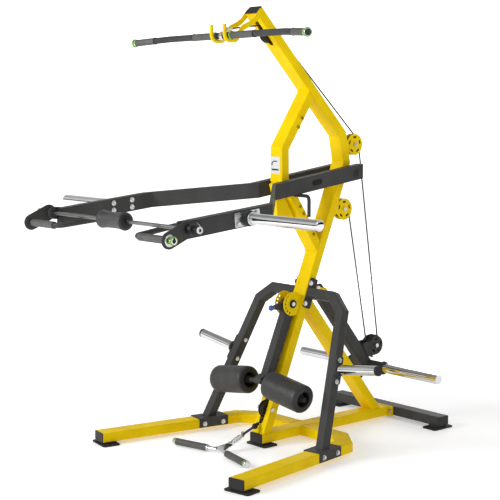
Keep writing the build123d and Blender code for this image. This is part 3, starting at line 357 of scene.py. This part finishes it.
def band_faces(count, steps, closed):
    """The faces between rings of vertices that follow each other; closed joins the last and first."""
    faces = []
    for row in range(count if closed else count - 1):
        following = (row + 1) % count
        for step in range(steps):
            other = (step + 1) % steps
            faces.append((row * steps + step, row * steps + other,
                          following * steps + other, following * steps + step))
    return faces


def lathe(name, profile, origin, axis, material, body, steps=48):
    """A closed turned ring as its own object."""
    vertices, faces = lathe_data(profile, origin, axis, steps)
    return make_object(name, mesh_from(name, vertices, faces), material, body)


def rounded(profile, radius, steps=4):
    """Round the corners of a closed (along, radius) profile."""
    result = []
    count = len(profile)
    for index, point in enumerate(profile):
        here = Vector(point)
        before = Vector(profile[index - 1]) - here
        after = Vector(profile[(index + 1) % count]) - here
        reach = min(radius, before.length * 0.45, after.length * 0.45)
        first, last = here + before.normalized() * reach, here + after.normalized() * reach
        for step in range(steps + 1):
            t = step / steps
            place = first * (1 - t) ** 2 + here * 2 * t * (1 - t) + last * t ** 2
            result.append((place.x, place.y))
    return result


def sweep(name, path, radius, material, body, steps, closed=False, wobble=None):
    """A round rod along a path as its own object; wobble(i) scales the radius."""
    count = len(path)
    tangents = []
    for index in range(count):
        before = path[index - 1] if closed or index else path[index]
        after = path[(index + 1) % count] if closed or index < count - 1 else path[index]
        tangents.append((after - before).normalized())
    side, _ = turn_frame(tangents[0])
    vertices = []
    for index, (point, tangent) in enumerate(zip(path, tangents)):
        side = (side - tangent * side.dot(tangent)).normalized()
        up = tangent.cross(side)
        size = radius * (wobble(index) if wobble else 1.0)
        for step in range(steps):
            angle = 2 * math.pi * step / steps
            vertices.append(point + (side * math.cos(angle) + up * math.sin(angle)) * size)
    faces = band_faces(count, steps, closed)
    if not closed:
        faces.append(tuple(range(steps)))
        faces.append(tuple((count - 1) * steps + step for step in range(steps)))
    return make_object(name, mesh_from(name, vertices, faces), material, body)


def slab(name, outline, origin, across, up, thick, material, body, edge):
    """A flat plate from an outline of (across, up) points in metres, its edges rounded."""
    across, up = across.normalized(), up.normalized()
    out = across.cross(up)
    count = len(outline)
    vertices = []
    for level in (0, thick):
        vertices += [origin + across * a + up * b + out * level for a, b in outline]
    faces = [tuple(range(count)), tuple(range(count, 2 * count))]
    for index in range(count):
        following = (index + 1) % count
        faces.append((index, following, count + following, count + index))
    mesh = mesh_from(name, vertices, faces)
    shape = bmesh.new()
    shape.from_mesh(mesh)
    bmesh.ops.bevel(shape, geom=list(shape.edges), offset=edge, segments=2, affect="EDGES",
                    clamp_overlap=True)
    shape.to_mesh(mesh)
    shape.free()
    return make_object(name, mesh, material, body)


def obround(length, high, steps=12):
    """The outline of a slot shape, in metres."""
    radius = high / 2
    half = length / 2 - radius
    points = []
    for step in range(steps + 1):
        angle = -math.pi / 2 + math.pi * step / steps
        points.append((half + radius * math.cos(angle), radius * math.sin(angle)))
    for step in range(steps + 1):
        angle = math.pi / 2 + math.pi * step / steps
        points.append((-half + radius * math.cos(angle), radius * math.sin(angle)))
    return points


# CAD nodes: finishes ------------------------------------------------------------------------

NODE_FINISH = {
    yellow: ("base_leg_left", "base_leg_right", "centre_beam", "mast", "front_post", "rear_brace",
             "mast_brackets", "pulley_guards", "bar_hooks", "pin_bosses"),
    black: ("rear_beam", "arch_left", "arch_right", "press_arm_left", "press_arm_right",
            "lever_tube", "leg_lever", "lever_guards", "handle_bars", "stop_pin", "mount_plates",
            "arm_shaft"),
    chrome: ("press_horns", "storage_horns", "lever_horns", "row_handle"),
    gunmetal: ("handle_rod",),
    bar_grey: ("lat_bar",),
    zinc: ("axle_bolts", "frame_bolts", "lat_swivel"),
    pulley_plastic: ("top_pulley", "guide_pulley", "rear_pulley", "lever_pulley", "base_pulley"),
    plastic: ("tube_caps", "mast_cap", "row_ball"),
    floor_rubber: ("foot_plates", "lever_stop"),
    foam: ("front_roller", "leg_roller_left", "leg_roller_right"),
    grip: ("handle_grips", "lat_grips", "row_grips"),
    rope: ("lat_cable", "mast_cable", "rear_span", "front_span", "lever_wrap", "lat_tail",
           "row_cable"),
    web: ("row_strap",),
}

# Nodes of two materials: the second one goes to the faces whose centre passes the test.
HORN_PLATE_X = 0.503 + 0.0063
HORN_CLEAR = 0.042
SPLIT_FINISH = (
    ("arm_plates", black, zinc, lambda c: c.y > -0.80 and (
        abs(c.x) < HORN_PLATE_X or math.hypot(c.y + 0.523, c.z - 1.238) > HORN_CLEAR)),
    ("arm_plugs", plastic, chrome, lambda c: abs(c.x) > 0.60),
    ("lever_trim", zinc, chrome, lambda c: abs(c.x) > 0.40),
    ("leg_pull_pin", blue, zinc, lambda c: c.y > 0.0895),
    ("foot_spacers", black, yellow, lambda c: c.y > 0.80 and abs(c.x) < 0.10),
)


def finish_node(name, *materials):
    """Give a CAD node its material slots."""
    data = nodes[name].data
    data.materials.clear()
    for material in materials:
        data.materials.append(material)


for material, names in NODE_FINISH.items():
    for name in names:
        finish_node(name, material)
for name, first, second, test in SPLIT_FINISH:
    finish_node(name, first, second)
    for polygon in nodes[name].data.polygons:
        polygon.material_index = 1 if test(polygon.center) else 0


# Foam rollers -------------------------------------------------------------------------------

LEG_AXLE = (-107, 340)
LEG_DROOP = 8
LEG_PAD_R = 72.0
LEG_PAD_BORE = 41.0
LEG_PAD_IN = 80.0
LEG_PAD_OUT = 327.0
LEG_HUB_R = 12.6
FRONT_PAD_R = 44.0
FRONT_PAD_HALF = 96.0
FRONT_PAD_SHIFT = 0.008


def foam_roller(name, origin, axis, length, radius, bore, node, waist=-0.9):
    """A foam sleeve on its node's body; waist is how far its ends stand out past its middle."""
    half = length / 2
    side = [(half, bore + 1.5), (half, radius - 11), (half - 1.6, radius - 6.5),
            (half - 5.0, radius - 2.6)]
    outer = [(half * t, radius - max(waist, 0) + waist * abs(t) ** 3)
             for t in (-0.92, -0.75, -0.5, -0.2, 0.2, 0.5, 0.75, 0.92)]
    profile = [(-along, reach) for along, reach in side] + outer + side[::-1]
    profile += [(half - 2.5, bore), (-half + 2.5, bore)]
    sleeve = lathe(name + "_foam", profile, origin, axis, foam, node, 72)
    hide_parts(node)


def roller_bush(name, origin, axis, length, body):
    """The plastic bush in a leg roller's bore: a tube with a spoked hub near each end."""
    half = length / 2
    wall = [(-half + 1, LEG_PAD_BORE - 0.1), (-half + 1, LEG_PAD_BORE - 3.2),
            (half - 1, LEG_PAD_BORE - 3.2), (half - 1, LEG_PAD_BORE - 0.1)]
    lathe(name + "_tube", rounded(wall, 0.8), origin, axis, plastic, body)
    across, up = turn_frame(axis)
    web_ring = [(-3, LEG_HUB_R), (-3, LEG_HUB_R + 7), (3, LEG_HUB_R + 7), (3, LEG_HUB_R)]
    reach = (LEG_PAD_BORE - 2.5 - LEG_HUB_R - 3) / 1000
    outline = [(0, -0.003), (reach, -0.003), (reach, 0.003), (0, 0.003)]
    for side, tag in ((-1, "a"), (1, "b")):
        end = origin + axis * (side * (half - 20) / 1000)
        lathe(f"{name}_hub_{tag}", rounded(web_ring, 1), end, axis, plastic, body, 32)
        for number in range(3):
            angle = math.radians(20 + 120 * number)
            spoke = across * math.cos(angle) + up * math.sin(angle)
            start = end + spoke * ((LEG_HUB_R + 3) / 1000) - axis * 0.003
            slab(f"{name}_spoke_{tag}{number}", outline, start, spoke, axis.cross(spoke), 0.006,
                 plastic, body, 0.0006)


def roller_point(side, x):
    """A point on a leg roller's drooping axle."""
    axle_y, axle_z = LEG_AXLE
    return at(side * x, axle_y, axle_z - x * math.tan(math.radians(LEG_DROOP)))


for side, word in SIDES:
    inner, outer = roller_point(side, LEG_PAD_IN), roller_point(side, LEG_PAD_OUT)
    axis = (outer - inner).normalized()
    middle = (inner + outer) / 2
    length = (outer - inner).length * 1000
    roller = f"leg_roller_{word}"
    foam_roller(f"leg_pad_{word}", middle, axis, length, LEG_PAD_R, LEG_PAD_BORE, roller)
    roller_bush(f"leg_bush_{word}", middle, axis, length, roller)
    collar = [(-1.5, 12.1), (-1.5, 20), (3.5, 20), (3.5, 12.1)]
    lathe(f"leg_axle_collar_{word}", rounded(collar, 1.2), roller_point(side, LEG_PAD_IN - 5),
          axis, plastic, "leg_lever", 32)
    cap = [(-2, 0), (-2, 13.4), (3, 13.4), (5.5, 10.5), (6, 0)]
    lathe(f"leg_axle_cap_{word}", cap, roller_point(side, LEG_PAD_OUT + 3), axis, plastic,
          "leg_lever", 32)

pad_centre = at(0, *ROD_AXIS) + X * FRONT_PAD_SHIFT
foam_roller("front_pad", pad_centre, X, 2 * FRONT_PAD_HALF, FRONT_PAD_R, 16.0, "front_roller", 7.0)
for side, word in SIDES:
    plug = [(-16, 9.6), (-16, 15.8), (0.5, 15.8), (0.5, 30), (3.0, 29), (4.5, 22), (4.5, 9.6)]
    lathe(f"front_pad_plug_{word}", plug, pad_centre + X * (side * (FRONT_PAD_HALF - 0.5) / 1000),
          X * side, plastic, "front_roller", 36)


# Grips, rings and end caps ------------------------------------------------------------------

def ring(name, centre, axis, inner, outer, width, material, body):
    """A narrow ring with rounded edges round a bar; its sizes are in mm."""
    half = width / 2
    profile = [(-half, inner), (-half, outer), (half, outer), (half, inner)]
    lathe(name, rounded(profile, min(half, outer - inner) * 0.6), centre, axis, material, body,
          40)


def grip_end(name, tip, outward, radius, body):
    """A grip's end: a chrome ferrule, a green ring and a dark dished plug."""
    ferrule = [(-13, radius - 4), (-13, radius + 0.8), (1.0, radius + 0.8), (3.0, radius - 0.6),
               (3.2, radius - 4.5), (1.6, radius - 5.5), (-4, radius - 5.5)]
    lathe(f"{name}_ferrule", ferrule, tip, outward, chrome, body, 40)
    ring(f"{name}_green", tip - outward * 0.0155, outward, radius - 2, radius + 1.6, 4.0, green, body)
    plug = [(-4, 0), (-4, radius - 5.6), (0.6, radius - 5.6), (1.6, radius - 7.5), (1.0, 4), (0.2, 0)]
    lathe(f"{name}_plug", plug, tip, outward, plastic, body, 32)


BAR_TURN = math.radians(-3.5)


def bar_point(x, forward, up):
    """A point in the lat bar's own turned frame."""
    bar_y, bar_z = LAT_BAR
    return at(x * math.cos(BAR_TURN) + forward * math.sin(BAR_TURN),
              bar_y + x * math.sin(BAR_TURN) - forward * math.cos(BAR_TURN), bar_z + up)


def lat_bar_rings(side, word):
    """The caps and rings on one half of the lat bar."""
    tip, bend = bar_point(side * 712, 62, -14), bar_point(side * 467, 0, 0)
    outward = (tip - bend).normalized()
    grip_end(f"lat_end_{word}", tip - outward * 0.004, outward, 18.0, "lat_bar")
    ring(f"lat_tip_green_{word}", tip - outward * 0.005, outward, 16.5, 22.0, 6.0, green, "lat_bar")
    along = (bar_point(100, 0, 0) - bar_point(0, 0, 0)).normalized()
    for part, place, inner, outer, width, material in (
            ("inner_green", 70, 16.2, 20.4, 6, green), ("outer_green", 249, 16.2, 18.8, 5, plastic),
            ("ferrule", 63.5, 16.1, 18.6, 6, chrome)):
        ring(f"lat_{part}_{word}", bar_point(side * place, 0, 0), along, inner, outer, width,
             material, "lat_bar")
    ring(f"lat_grip_lip_{word}", tip - outward * 0.151, outward, 16.2, 18.8, 5, plastic, "lat_bar")


def handle_trim(side, word):
    """The caps, rings and washers on one side's press handle and on its rod's end."""
    out = X * side
    tip, rod_tip = at(side * 586, *HANDLE_AXIS), at(side * 638, *ROD_AXIS)
    grip_end(f"handle_end_{word}", tip, out, 15.0, "handles")
    ring(f"handle_tip_green_{word}", tip, out, 14.0, 19.5, 5.0, green, "handles")
    neck = [(-27, 0), (-27, 12.5), (-12, 12.5), (-12, 0)]
    lathe(f"handle_neck_{word}", neck, tip, out, chrome, "handles", 36)
    washer = [(0, 9.05), (0, 20), (2.5, 20), (3.5, 17), (3.5, 9.05)]
    lathe(f"rod_washer_{word}", washer, at(side * 557.5, *ROD_AXIS), out, plastic, "handles",
          32)
    stub = [(-72, 9.1), (-72, 21), (-70, 22), (-44, 22), (-42, 21), (-42, 10.6), (-3, 10.6),
            (-3, 9.1)]
    lathe(f"rod_end_{word}", stub, rod_tip, out, plastic, "handles", 36)
    rim = [(-3, 9.1), (-3, 15.5), (1.0, 15.5), (2.6, 13.8), (2.6, 7.5), (0.5, 6.5), (0.5, 0),
           (0.2, 0), (0.2, 9.1)]
    lathe(f"rod_rim_{word}", rim, rod_tip, out, pale, "handles", 36)
    # Painted shade: a flat jet-black disc in the rim's recess stands for the dark inside of the rod's
    # open end.
    hole_shade_disc = [(0.4, 0), (0.4, 6.4), (1.2, 6.4), (1.2, 0)]
    lathe(f"rod_hole_{word}", hole_shade_disc, rod_tip, out, deep_black_and_shade, "handles", 24)
    disc_ring = [(0, 13.05), (0, 27), (2.0, 27), (3.4, 25), (3.4, 13.05)]
    lathe(f"handle_washer_{word}", disc_ring, at(side * 557.2, *HANDLE_AXIS), out, zinc, "handles",
          36)


def row_handle_rings(side, word):
    """The cap and rings on one half of the row handle."""
    inner, outer = at(side * 20, -379, 20), at(side * 290, -440, 20)
    outward = (outer - inner).normalized()
    grip_end(f"row_end_{word}", outer - outward * 0.003, outward, 17.0, "row")
    ring(f"row_inner_green_{word}", inner + outward * 0.061, outward, 11, 17.4, 5, green, "row")
    ring(f"row_ferrule_{word}", inner + outward * 0.055, outward, 11, 16.2, 7, chrome, "row")


for side, word in SIDES:
    lat_bar_rings(side, word)
    handle_trim(side, word)
    row_handle_rings(side, word)


# Bolts, plugs and plates --------------------------------------------------------------------

def hex_bolt(name, place, outward, flat, body):
    """A washer and a chamfered hexagon head on a surface; flat is across the flats in mm."""
    washer = flat * 0.72
    disc = [(0, 0), (0, washer), (1.2, washer), (1.8, washer - 0.8), (1.8, 0)]
    vertices, faces = lathe_data(disc, place, outward, 32)
    side, up = turn_frame(outward)
    outward = outward.normalized()
    corner = flat / 2 / math.cos(math.pi / 6)
    rings = [(1.8, corner), (5.4, corner), (6.8, corner * 0.86), (6.8, corner * 0.30), (6.2, 0.05)]
    base = len(vertices)
    for along, radius in rings:
        for step in range(6):
            angle = math.pi / 3 * step
            spoke = side * math.cos(angle) + up * math.sin(angle)
            vertices.append(place + outward * (along / 1000) + spoke * (radius / 1000))
    faces += [tuple(base + index for index in face) for face in band_faces(len(rings), 6, False)]
    faces.append(tuple(base + step for step in range(6)))
    faces.append(tuple(base + (len(rings) - 1) * 6 + step for step in range(6)))
    make_object(name, mesh_from(name, vertices, faces), zinc, body)


ARM_SLOPE = (ARM_REAR[1] - ARM_SPLAY[1]) / (ARM_REAR[0] - ARM_SPLAY[0])
ARM_BOLTS = ((-56, 18), (-56, -18), (56, 18), (56, -18))
SLOT_PLUG_Y = 196
HORN_PLATE_MID = 503
HORN_END = 975
LEG_PIVOT_HALF = 35.0
STORAGE_HORN = ((0.402304, 0.164611, 0.432847), (0.676967, 0.164611, 0.472427))
LEVER_COLLAR_X = 120.5
ARCH_FOOT = (-86, 70)
ARCH_LEAN = 0.378
ARCH_RISE = 0.9258
ARCH_HALF = 442
ARCH_TAPER = 130 / 680.6
ARCH_BOLT_HEIGHTS = (478.0, 378.0)


def arm_height(y):
    """Height of a press arm's centre line over a y measured from the upright's face."""
    splay_y, splay_z = ARM_SPLAY
    if y > splay_y:
        return splay_z + (y - splay_y) * ARM_SLOPE
    front_y, front_z = ARM_FRONT
    return splay_z - (splay_y - y) * (splay_z - front_z) / (splay_y - front_y)


def press_arm_trim(side, word):
    """The bolts, the slot's plug and the horn's collars and dome on one press arm."""
    out = Vector((side, 0, 0))
    for number, (step, rise) in enumerate(ARM_BOLTS):
        y = PRESS_HORN[0] + step
        hex_bolt(f"arm_inner_bolt_{word}{number}", at(side * 455, y, arm_height(y) + rise), -out,
                 19, "press_arm")
    along = (at(0, 300, arm_height(300)) - at(0, 100, arm_height(100))).normalized()
    across = along * side
    slab(f"arm_slot_plug_{word}", obround(0.070, 0.027),
         at(side * 100, SLOT_PLUG_Y, arm_height(SLOT_PLUG_Y)), across, out.cross(across), 0.003,
         deep_black_and_shade, "press_arm", 0.0012)
    for tag, gap, reach, material in (("a", 0.0255, 34, black), ("b", 0.041, 31, zinc)):
        washer = [(0, 25.1), (0, reach), (5, reach), (6, 30), (6, 25.1)]
        lathe(f"horn_collar_{word}_{tag}", washer,
              at(side * HORN_PLATE_MID, *PRESS_HORN) + Vector((side * gap, 0, 0)), out, material,
              "press_arm")
    dome = [(-2, 0), (-2, 24.9), (0, 24.3), (1.6, 22.0), (2.8, 17.5), (3.5, 11.0), (3.8, 5.0),
            (3.9, 0)]
    lathe(f"horn_dome_{word}", dome, at(side * HORN_END, *PRESS_HORN), out, mirror_chrome,
          "press_arm")


def frame_trim(side, word):
    """One side's pivot cap, horn collars and arch bolts."""
    out = Vector((side, 0, 0))
    pivot_cap = [(0, 11.2), (0, 22), (5.0, 22), (6.8, 20), (6.8, 11.2)]
    lathe(f"leg_pivot_cap_{word}", pivot_cap, at(side * LEG_PIVOT_HALF, *LEG_PIVOT), out, plastic,
          "frame", 40)
    start, end = (Vector((side * x, y, z)) for x, y, z in STORAGE_HORN)
    collar = [(0, 25.1), (0, 33), (8, 33), (10, 31), (10, 25.1)]
    lathe(f"storage_collar_{word}", collar, start, (end - start).normalized(), black, "frame")
    stop = [(0, 25.1), (0, 36), (6, 36), (8, 34), (8, 25.1)]
    lathe(f"lever_collar_{word}", stop, at(side * LEVER_COLLAR_X, *LEVER_HORN), out, black,
          "lever")
    foot_y, foot_z = ARCH_FOOT
    for part, offset, facing in (("side", 32.6, 1), ("inner", -26.6, -1)):
        for number, height in enumerate(ARCH_BOLT_HEIGHTS):
            y = foot_y + ARCH_LEAN * (height - foot_z) / ARCH_RISE
            reach = ARCH_HALF - ARCH_TAPER * (height - foot_z) / ARCH_RISE
            hex_bolt(f"arch_{part}_bolt_{word}{number}", at(side * (reach + offset), y, height),
                     Vector((side * facing * 0.98, 0, facing * 0.19)), 17, "frame")


for side, word in SIDES:
    press_arm_trim(side, word)
    frame_trim(side, word)


def label_piece(name, outline, place, thick, material, edge):
    """A flat piece of the mast's plain label."""
    slab(name, outline, place, X, Z, thick, material, "frame", edge)


def arc_points(wide, high, shift_across, shift_up):
    """Points along a flat arc, in metres."""
    angles = [math.radians(200 - 12 * step) for step in range(13)]
    return [(wide * math.cos(angle) + shift_across, high * math.sin(angle) + shift_up)
            for angle in angles]


LABEL_X = -5
LABEL_HALF = (0.036, 0.044)
label_face = [(-LABEL_HALF[0], -LABEL_HALF[1]), (LABEL_HALF[0], -LABEL_HALF[1]),
              (LABEL_HALF[0], LABEL_HALF[1]), (-LABEL_HALF[0], LABEL_HALF[1])]
label_piece("mast_label", label_face, at(LABEL_X, -0.1, 1436), 0.0007, pale, 0.0003)
swoosh = arc_points(0.028, 0.020, 0.0, -0.002) + arc_points(0.022, 0.011, 0.002, 0.001)[::-1]
label_piece("label_arc", swoosh, at(LABEL_X, -0.8, 1442), 0.0004, plastic, 0.0001)
label_piece("label_bar", [(-0.026, -0.004), (0.026, -0.004), (0.024, 0.004), (-0.028, 0.004)],
            at(LABEL_X, -0.8, 1414), 0.0004, plastic, 0.0001)


# Welds --------------------------------------------------------------------------------------

# The yellow tube in metres, and the bead's radius and the length of its ripples' steps
TUBE_HALF_WIDE = 0.046
TUBE_HALF_DEEP = 0.0255
TUBE_CORNER = 0.007
BEAD_R = 0.0026
BEAD_STEP = 0.0028


def weld_loop(name, centre, across, up, half_up):
    """A rippled bead round a yellow tube's outline, whose wide side lies across."""
    across, up = across.normalized(), up.normalized()

    def outline(a, b, degrees):
        angle = math.radians(degrees)
        return (centre
                + across * (a * (TUBE_HALF_WIDE - TUBE_CORNER) + TUBE_CORNER * math.cos(angle))
                + up * (b * (half_up - TUBE_CORNER) + TUBE_CORNER * math.sin(angle)))

    path = []
    corners = ((1, 1), (-1, 1), (-1, -1), (1, -1))
    for number, (a, b) in enumerate(corners):
        path += [outline(a, b, 90 * number + 22.5 * step) for step in range(5)]
        start, goal = path[-1], outline(*corners[(number + 1) % 4], 90 * (number + 1))
        pieces = max(2, int((goal - start).length / BEAD_STEP))
        path += [start.lerp(goal, step / pieces) for step in range(1, pieces)]
    sweep(name, path, BEAD_R, yellow, "frame", 8, True,
          lambda index: 1.0 + 0.16 * math.sin(index * 2.1))


def unit(y, z):
    """A direction of length 1 in the machine's side plane."""
    length = math.hypot(y, z)
    return Vector((0, y / length, z / length))


def weld_meeting(name, start, run, foot, line, face):
    """The bead where a tube that runs from start meets a face of the tube from foot along line."""
    normal = Vector((0, -line.z, line.y)) * face
    point = foot + normal * TUBE_HALF_DEEP
    centre = start + run * ((point - start).dot(normal) / run.dot(normal))
    weld_loop(name, centre, X, line, TUBE_HALF_DEEP / abs(math.sin(run.angle(line))))


MAST_LEAN = unit(571.5, 1400.0)
MAST_UPPER = unit(-587.0, 616.2)
BRACE_RUN = unit(496.1, -618.5)
POST_LOW_RUN = unit(294.5, -444.7)
POST_HIGH_RUN = unit(249.5, 373.8)
weld_loop("weld_mast_foot", at(0, -95.2, 66.8), X, Y, 0.0275)
weld_loop("weld_brace_foot", at(0, 715, 66.8), X, Y, 0.0327)
mast_foot = at(0, *MAST_FOOT)
weld_meeting("weld_post_low", at(0, *POST_LOW), POST_LOW_RUN, mast_foot, MAST_LEAN, 1)
weld_meeting("weld_post_high", at(0, *POST_HIGH), POST_HIGH_RUN, at(0, *MAST_TOP), MAST_UPPER, 1)
weld_meeting("weld_brace_top", at(0, *BRACE_TOP), BRACE_RUN, mast_foot, MAST_LEAN, -1)
for side, word in SIDES:
    weld_loop(f"weld_cross_{word}", at(side * 46.2, 183, 41), Y, Z, TUBE_HALF_DEEP)


# Row clip, strap and knob -------------------------------------------------------------------

def oval_ring(name, centre, along, across, half_long, half_wide, radius, body):
    """A closed oval chrome wire, such as a link or a snap hook's frame; sizes in metres."""
    path = []
    for step in range(36):
        angle = 2 * math.pi * step / 36
        path.append(centre + along * (half_long * math.cos(angle))
                    + across * (half_wide * math.sin(angle)))
    sweep(name, path, radius, chrome, body, 12, True)


clip = at(0, -232, 71)
hub = at(0, -300, 40)
row_run = (hub - clip).normalized()
row_up = row_run.cross(X)
oval_ring("row_clip", (clip + hub) / 2, row_run, X, 0.040, 0.017, 0.0042, "row")
oval_ring("row_eye", clip - row_run * 0.008, row_run, row_up, 0.014, 0.013, 0.0032, "row")
gate = [clip.lerp(hub, 0.25) + X * 0.0155, clip.lerp(hub, 0.75) + X * 0.0155]
sweep("row_clip_gate", gate, 0.0052, zinc, "row", 14)
ball = at(0, -141, 103)
socket = [(-11, 3.2), (-11, 7), (-3, 9), (3, 9), (3, 3.2)]
cable_run = (at(0, -48.5, 148.0) - ball).normalized()
lathe("row_ball_socket", socket, ball + cable_run * 0.021, cable_run, plastic, "row",
      32)
oval_ring("lat_clip", at(0, -329, 2106), unit(265.5, 33.65), unit(-33.65, 265.5), 0.017, 0.010,
          0.0030, "lat_bar")


# Cables that swing, wrap or pay out ---------------------------------------------------------

CABLE_R = 0.004
CABLE_RINGS = 60


def cable_piece(name, start, end, body, node):
    """A straight stretch of sleeved wire rope that stands for a CAD node."""
    path = [start.lerp(end, step / CABLE_RINGS) for step in range(CABLE_RINGS + 1)]
    piece = sweep(name, path, CABLE_R, rope, body, 14)
    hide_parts(node)
    return piece


rear_low, rear_high = Vector((0, 0.868003, 0.428596)), Vector((0, 0.700003, 1.536596))
rear_piece = cable_piece("rear_rope", rear_low, rear_high, "rear_span", "rear_span")
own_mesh(rear_piece)
front_low, front_high = Vector((0, 0.781356, 0.413363)), Vector((0, 0.624644, 1.196137))
front_piece = cable_piece("front_rope", front_low, front_high, "front_span", "front_span")
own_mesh(front_piece)
tail_far, tail_near = at(0, -63.533, 2139.651), at(0, -289.318, 2111.030)
tail_piece = cable_piece("lat_tail_rope", tail_far, tail_near, None, "lat_tail")
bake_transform(tail_piece)
row_far, row_near = at(0, -48.49, 148.04), ball
row_piece = cable_piece("row_rope", row_far, row_near, None, "row_cable")
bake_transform(row_piece)


# Stage --------------------------------------------------------------------------------------

# The floor's glow over the distance from its middle: near, far, and the glow at each
FLOOR_FADE = (1.6, 6.0, 0.30, 0.92)
WALL_GLOW = 0.92
WALL_R = 32.0
SHEET_STEPS = 96


def round_sheet(name, rows, colour, rough, glow=0.0):
    """A round sheet of the studio from (reach, height) rows; a first row of no reach is its middle.

    Without a glow of its own the sheet brightens away from its middle, as FLOOR_FADE says."""
    vertices = [(0, 0, rows[0][1])] if rows[0][0] == 0 else []
    first = len(vertices)
    faces = [(0, 1 + step, 1 + (step + 1) % SHEET_STEPS) for step in range(SHEET_STEPS * first)]
    for reach, height in rows[first:]:
        for step in range(SHEET_STEPS):
            angle = 2 * math.pi * step / SHEET_STEPS
            vertices.append((reach * math.cos(angle), reach * math.sin(angle), height))
    for row in range(len(rows) - first - 1):
        base = first + row * SHEET_STEPS
        above = base + SHEET_STEPS
        for step in range(SHEET_STEPS):
            other = (step + 1) % SHEET_STEPS
            faces.append((base + step, above + step, above + other, base + other))
    mesh = bpy.data.meshes.new(name)
    mesh.from_pydata(vertices, [], faces)
    for polygon in mesh.polygons:
        polygon.use_smooth = True
    surface = Finish(name + "_surface", colour, rough)
    surface.shader.inputs["Emission Color"].default_value = (1, 1, 1, 1)
    if glow:
        surface.shader.inputs["Emission Strength"].default_value = glow
    else:
        reach = surface.add("ShaderNodeVectorMath", operation="LENGTH")
        surface.link(surface.place, reach.inputs[0])
        fade = surface.ramp(reach.outputs["Value"], *FLOOR_FADE)
        surface.link(fade, surface.shader.inputs["Emission Strength"])
    mesh.materials.append(surface.material)
    piece = bpy.data.objects.new(name, mesh)
    bpy.context.scene.collection.objects.link(piece)
    return piece


round_sheet("studio_floor", [(0, -0.0005), (3, -0.0005), (10, -0.0005), (34, -0.0005)],
            (0.88, 0.88, 0.88), 0.85)
wall = round_sheet("studio_wall", [(WALL_R, -0.2), (WALL_R, 9.0), (WALL_R, 28.0)],
                   (0.9, 0.9, 0.9), 0.9, WALL_GLOW)
wall.visible_diffuse = False
wall.visible_glossy = False
wall.visible_shadow = False


def softbox(name, place, aim, size, power):
    """A square area light that points at a place and that the camera doesn't see."""
    light = bpy.data.lights.new(name, "AREA")
    light.shape = "SQUARE"
    light.size = size
    light.energy = power
    lamp = bpy.data.objects.new(name, light)
    lamp.location = place
    lamp.rotation_euler = (Vector(aim) - Vector(place)).to_track_quat("-Z", "Y").to_euler()
    lamp.visible_camera = False
    bpy.context.scene.collection.objects.link(lamp)


softbox("key_light", (-2.2, -6.0, 3.6), (0, 0, 1.0), 2.6, 300)
softbox("top_light", (0.4, 0.4, 6.0), (0, 0, 0), 4.0, 70)
softbox("side_light", (6.2, 0.4, 2.6), (0, 0, 1.0), 1.8, 14)
softbox("back_light", (-3.5, 6.0, 3.6), (0, 0, 1.0), 2.4, 90)

# The sky's (height, brightness) stops, dark below the horizon
SKY_BANDS = ((0.0, 0.02), (0.09, 0.02), (0.15, 0.90), (0.42, 0.95), (0.62, 0.42), (1.0, 0.30))

world = bpy.data.worlds.new("studio")
world.use_nodes = True
sky = world.node_tree
direction = sky.nodes.new("ShaderNodeTexCoord")
split = sky.nodes.new("ShaderNodeSeparateXYZ")
bands = sky.nodes.new("ShaderNodeValToRGB")
sky.links.new(direction.outputs["Generated"], split.inputs["Vector"])
sky.links.new(split.outputs["Z"], bands.inputs["Fac"])
sky.links.new(bands.outputs["Color"], sky.nodes["Background"].inputs["Color"])
while len(bands.color_ramp.elements) < len(SKY_BANDS):
    bands.color_ramp.elements.new(0.5)
for element, (place, level) in zip(bands.color_ramp.elements, SKY_BANDS):
    element.position = place
    element.color = (level, level, level, 1)
sky.nodes["Background"].inputs["Strength"].default_value = 0.80
bpy.context.scene.world = world
bpy.context.scene.view_settings.view_transform = "Standard"
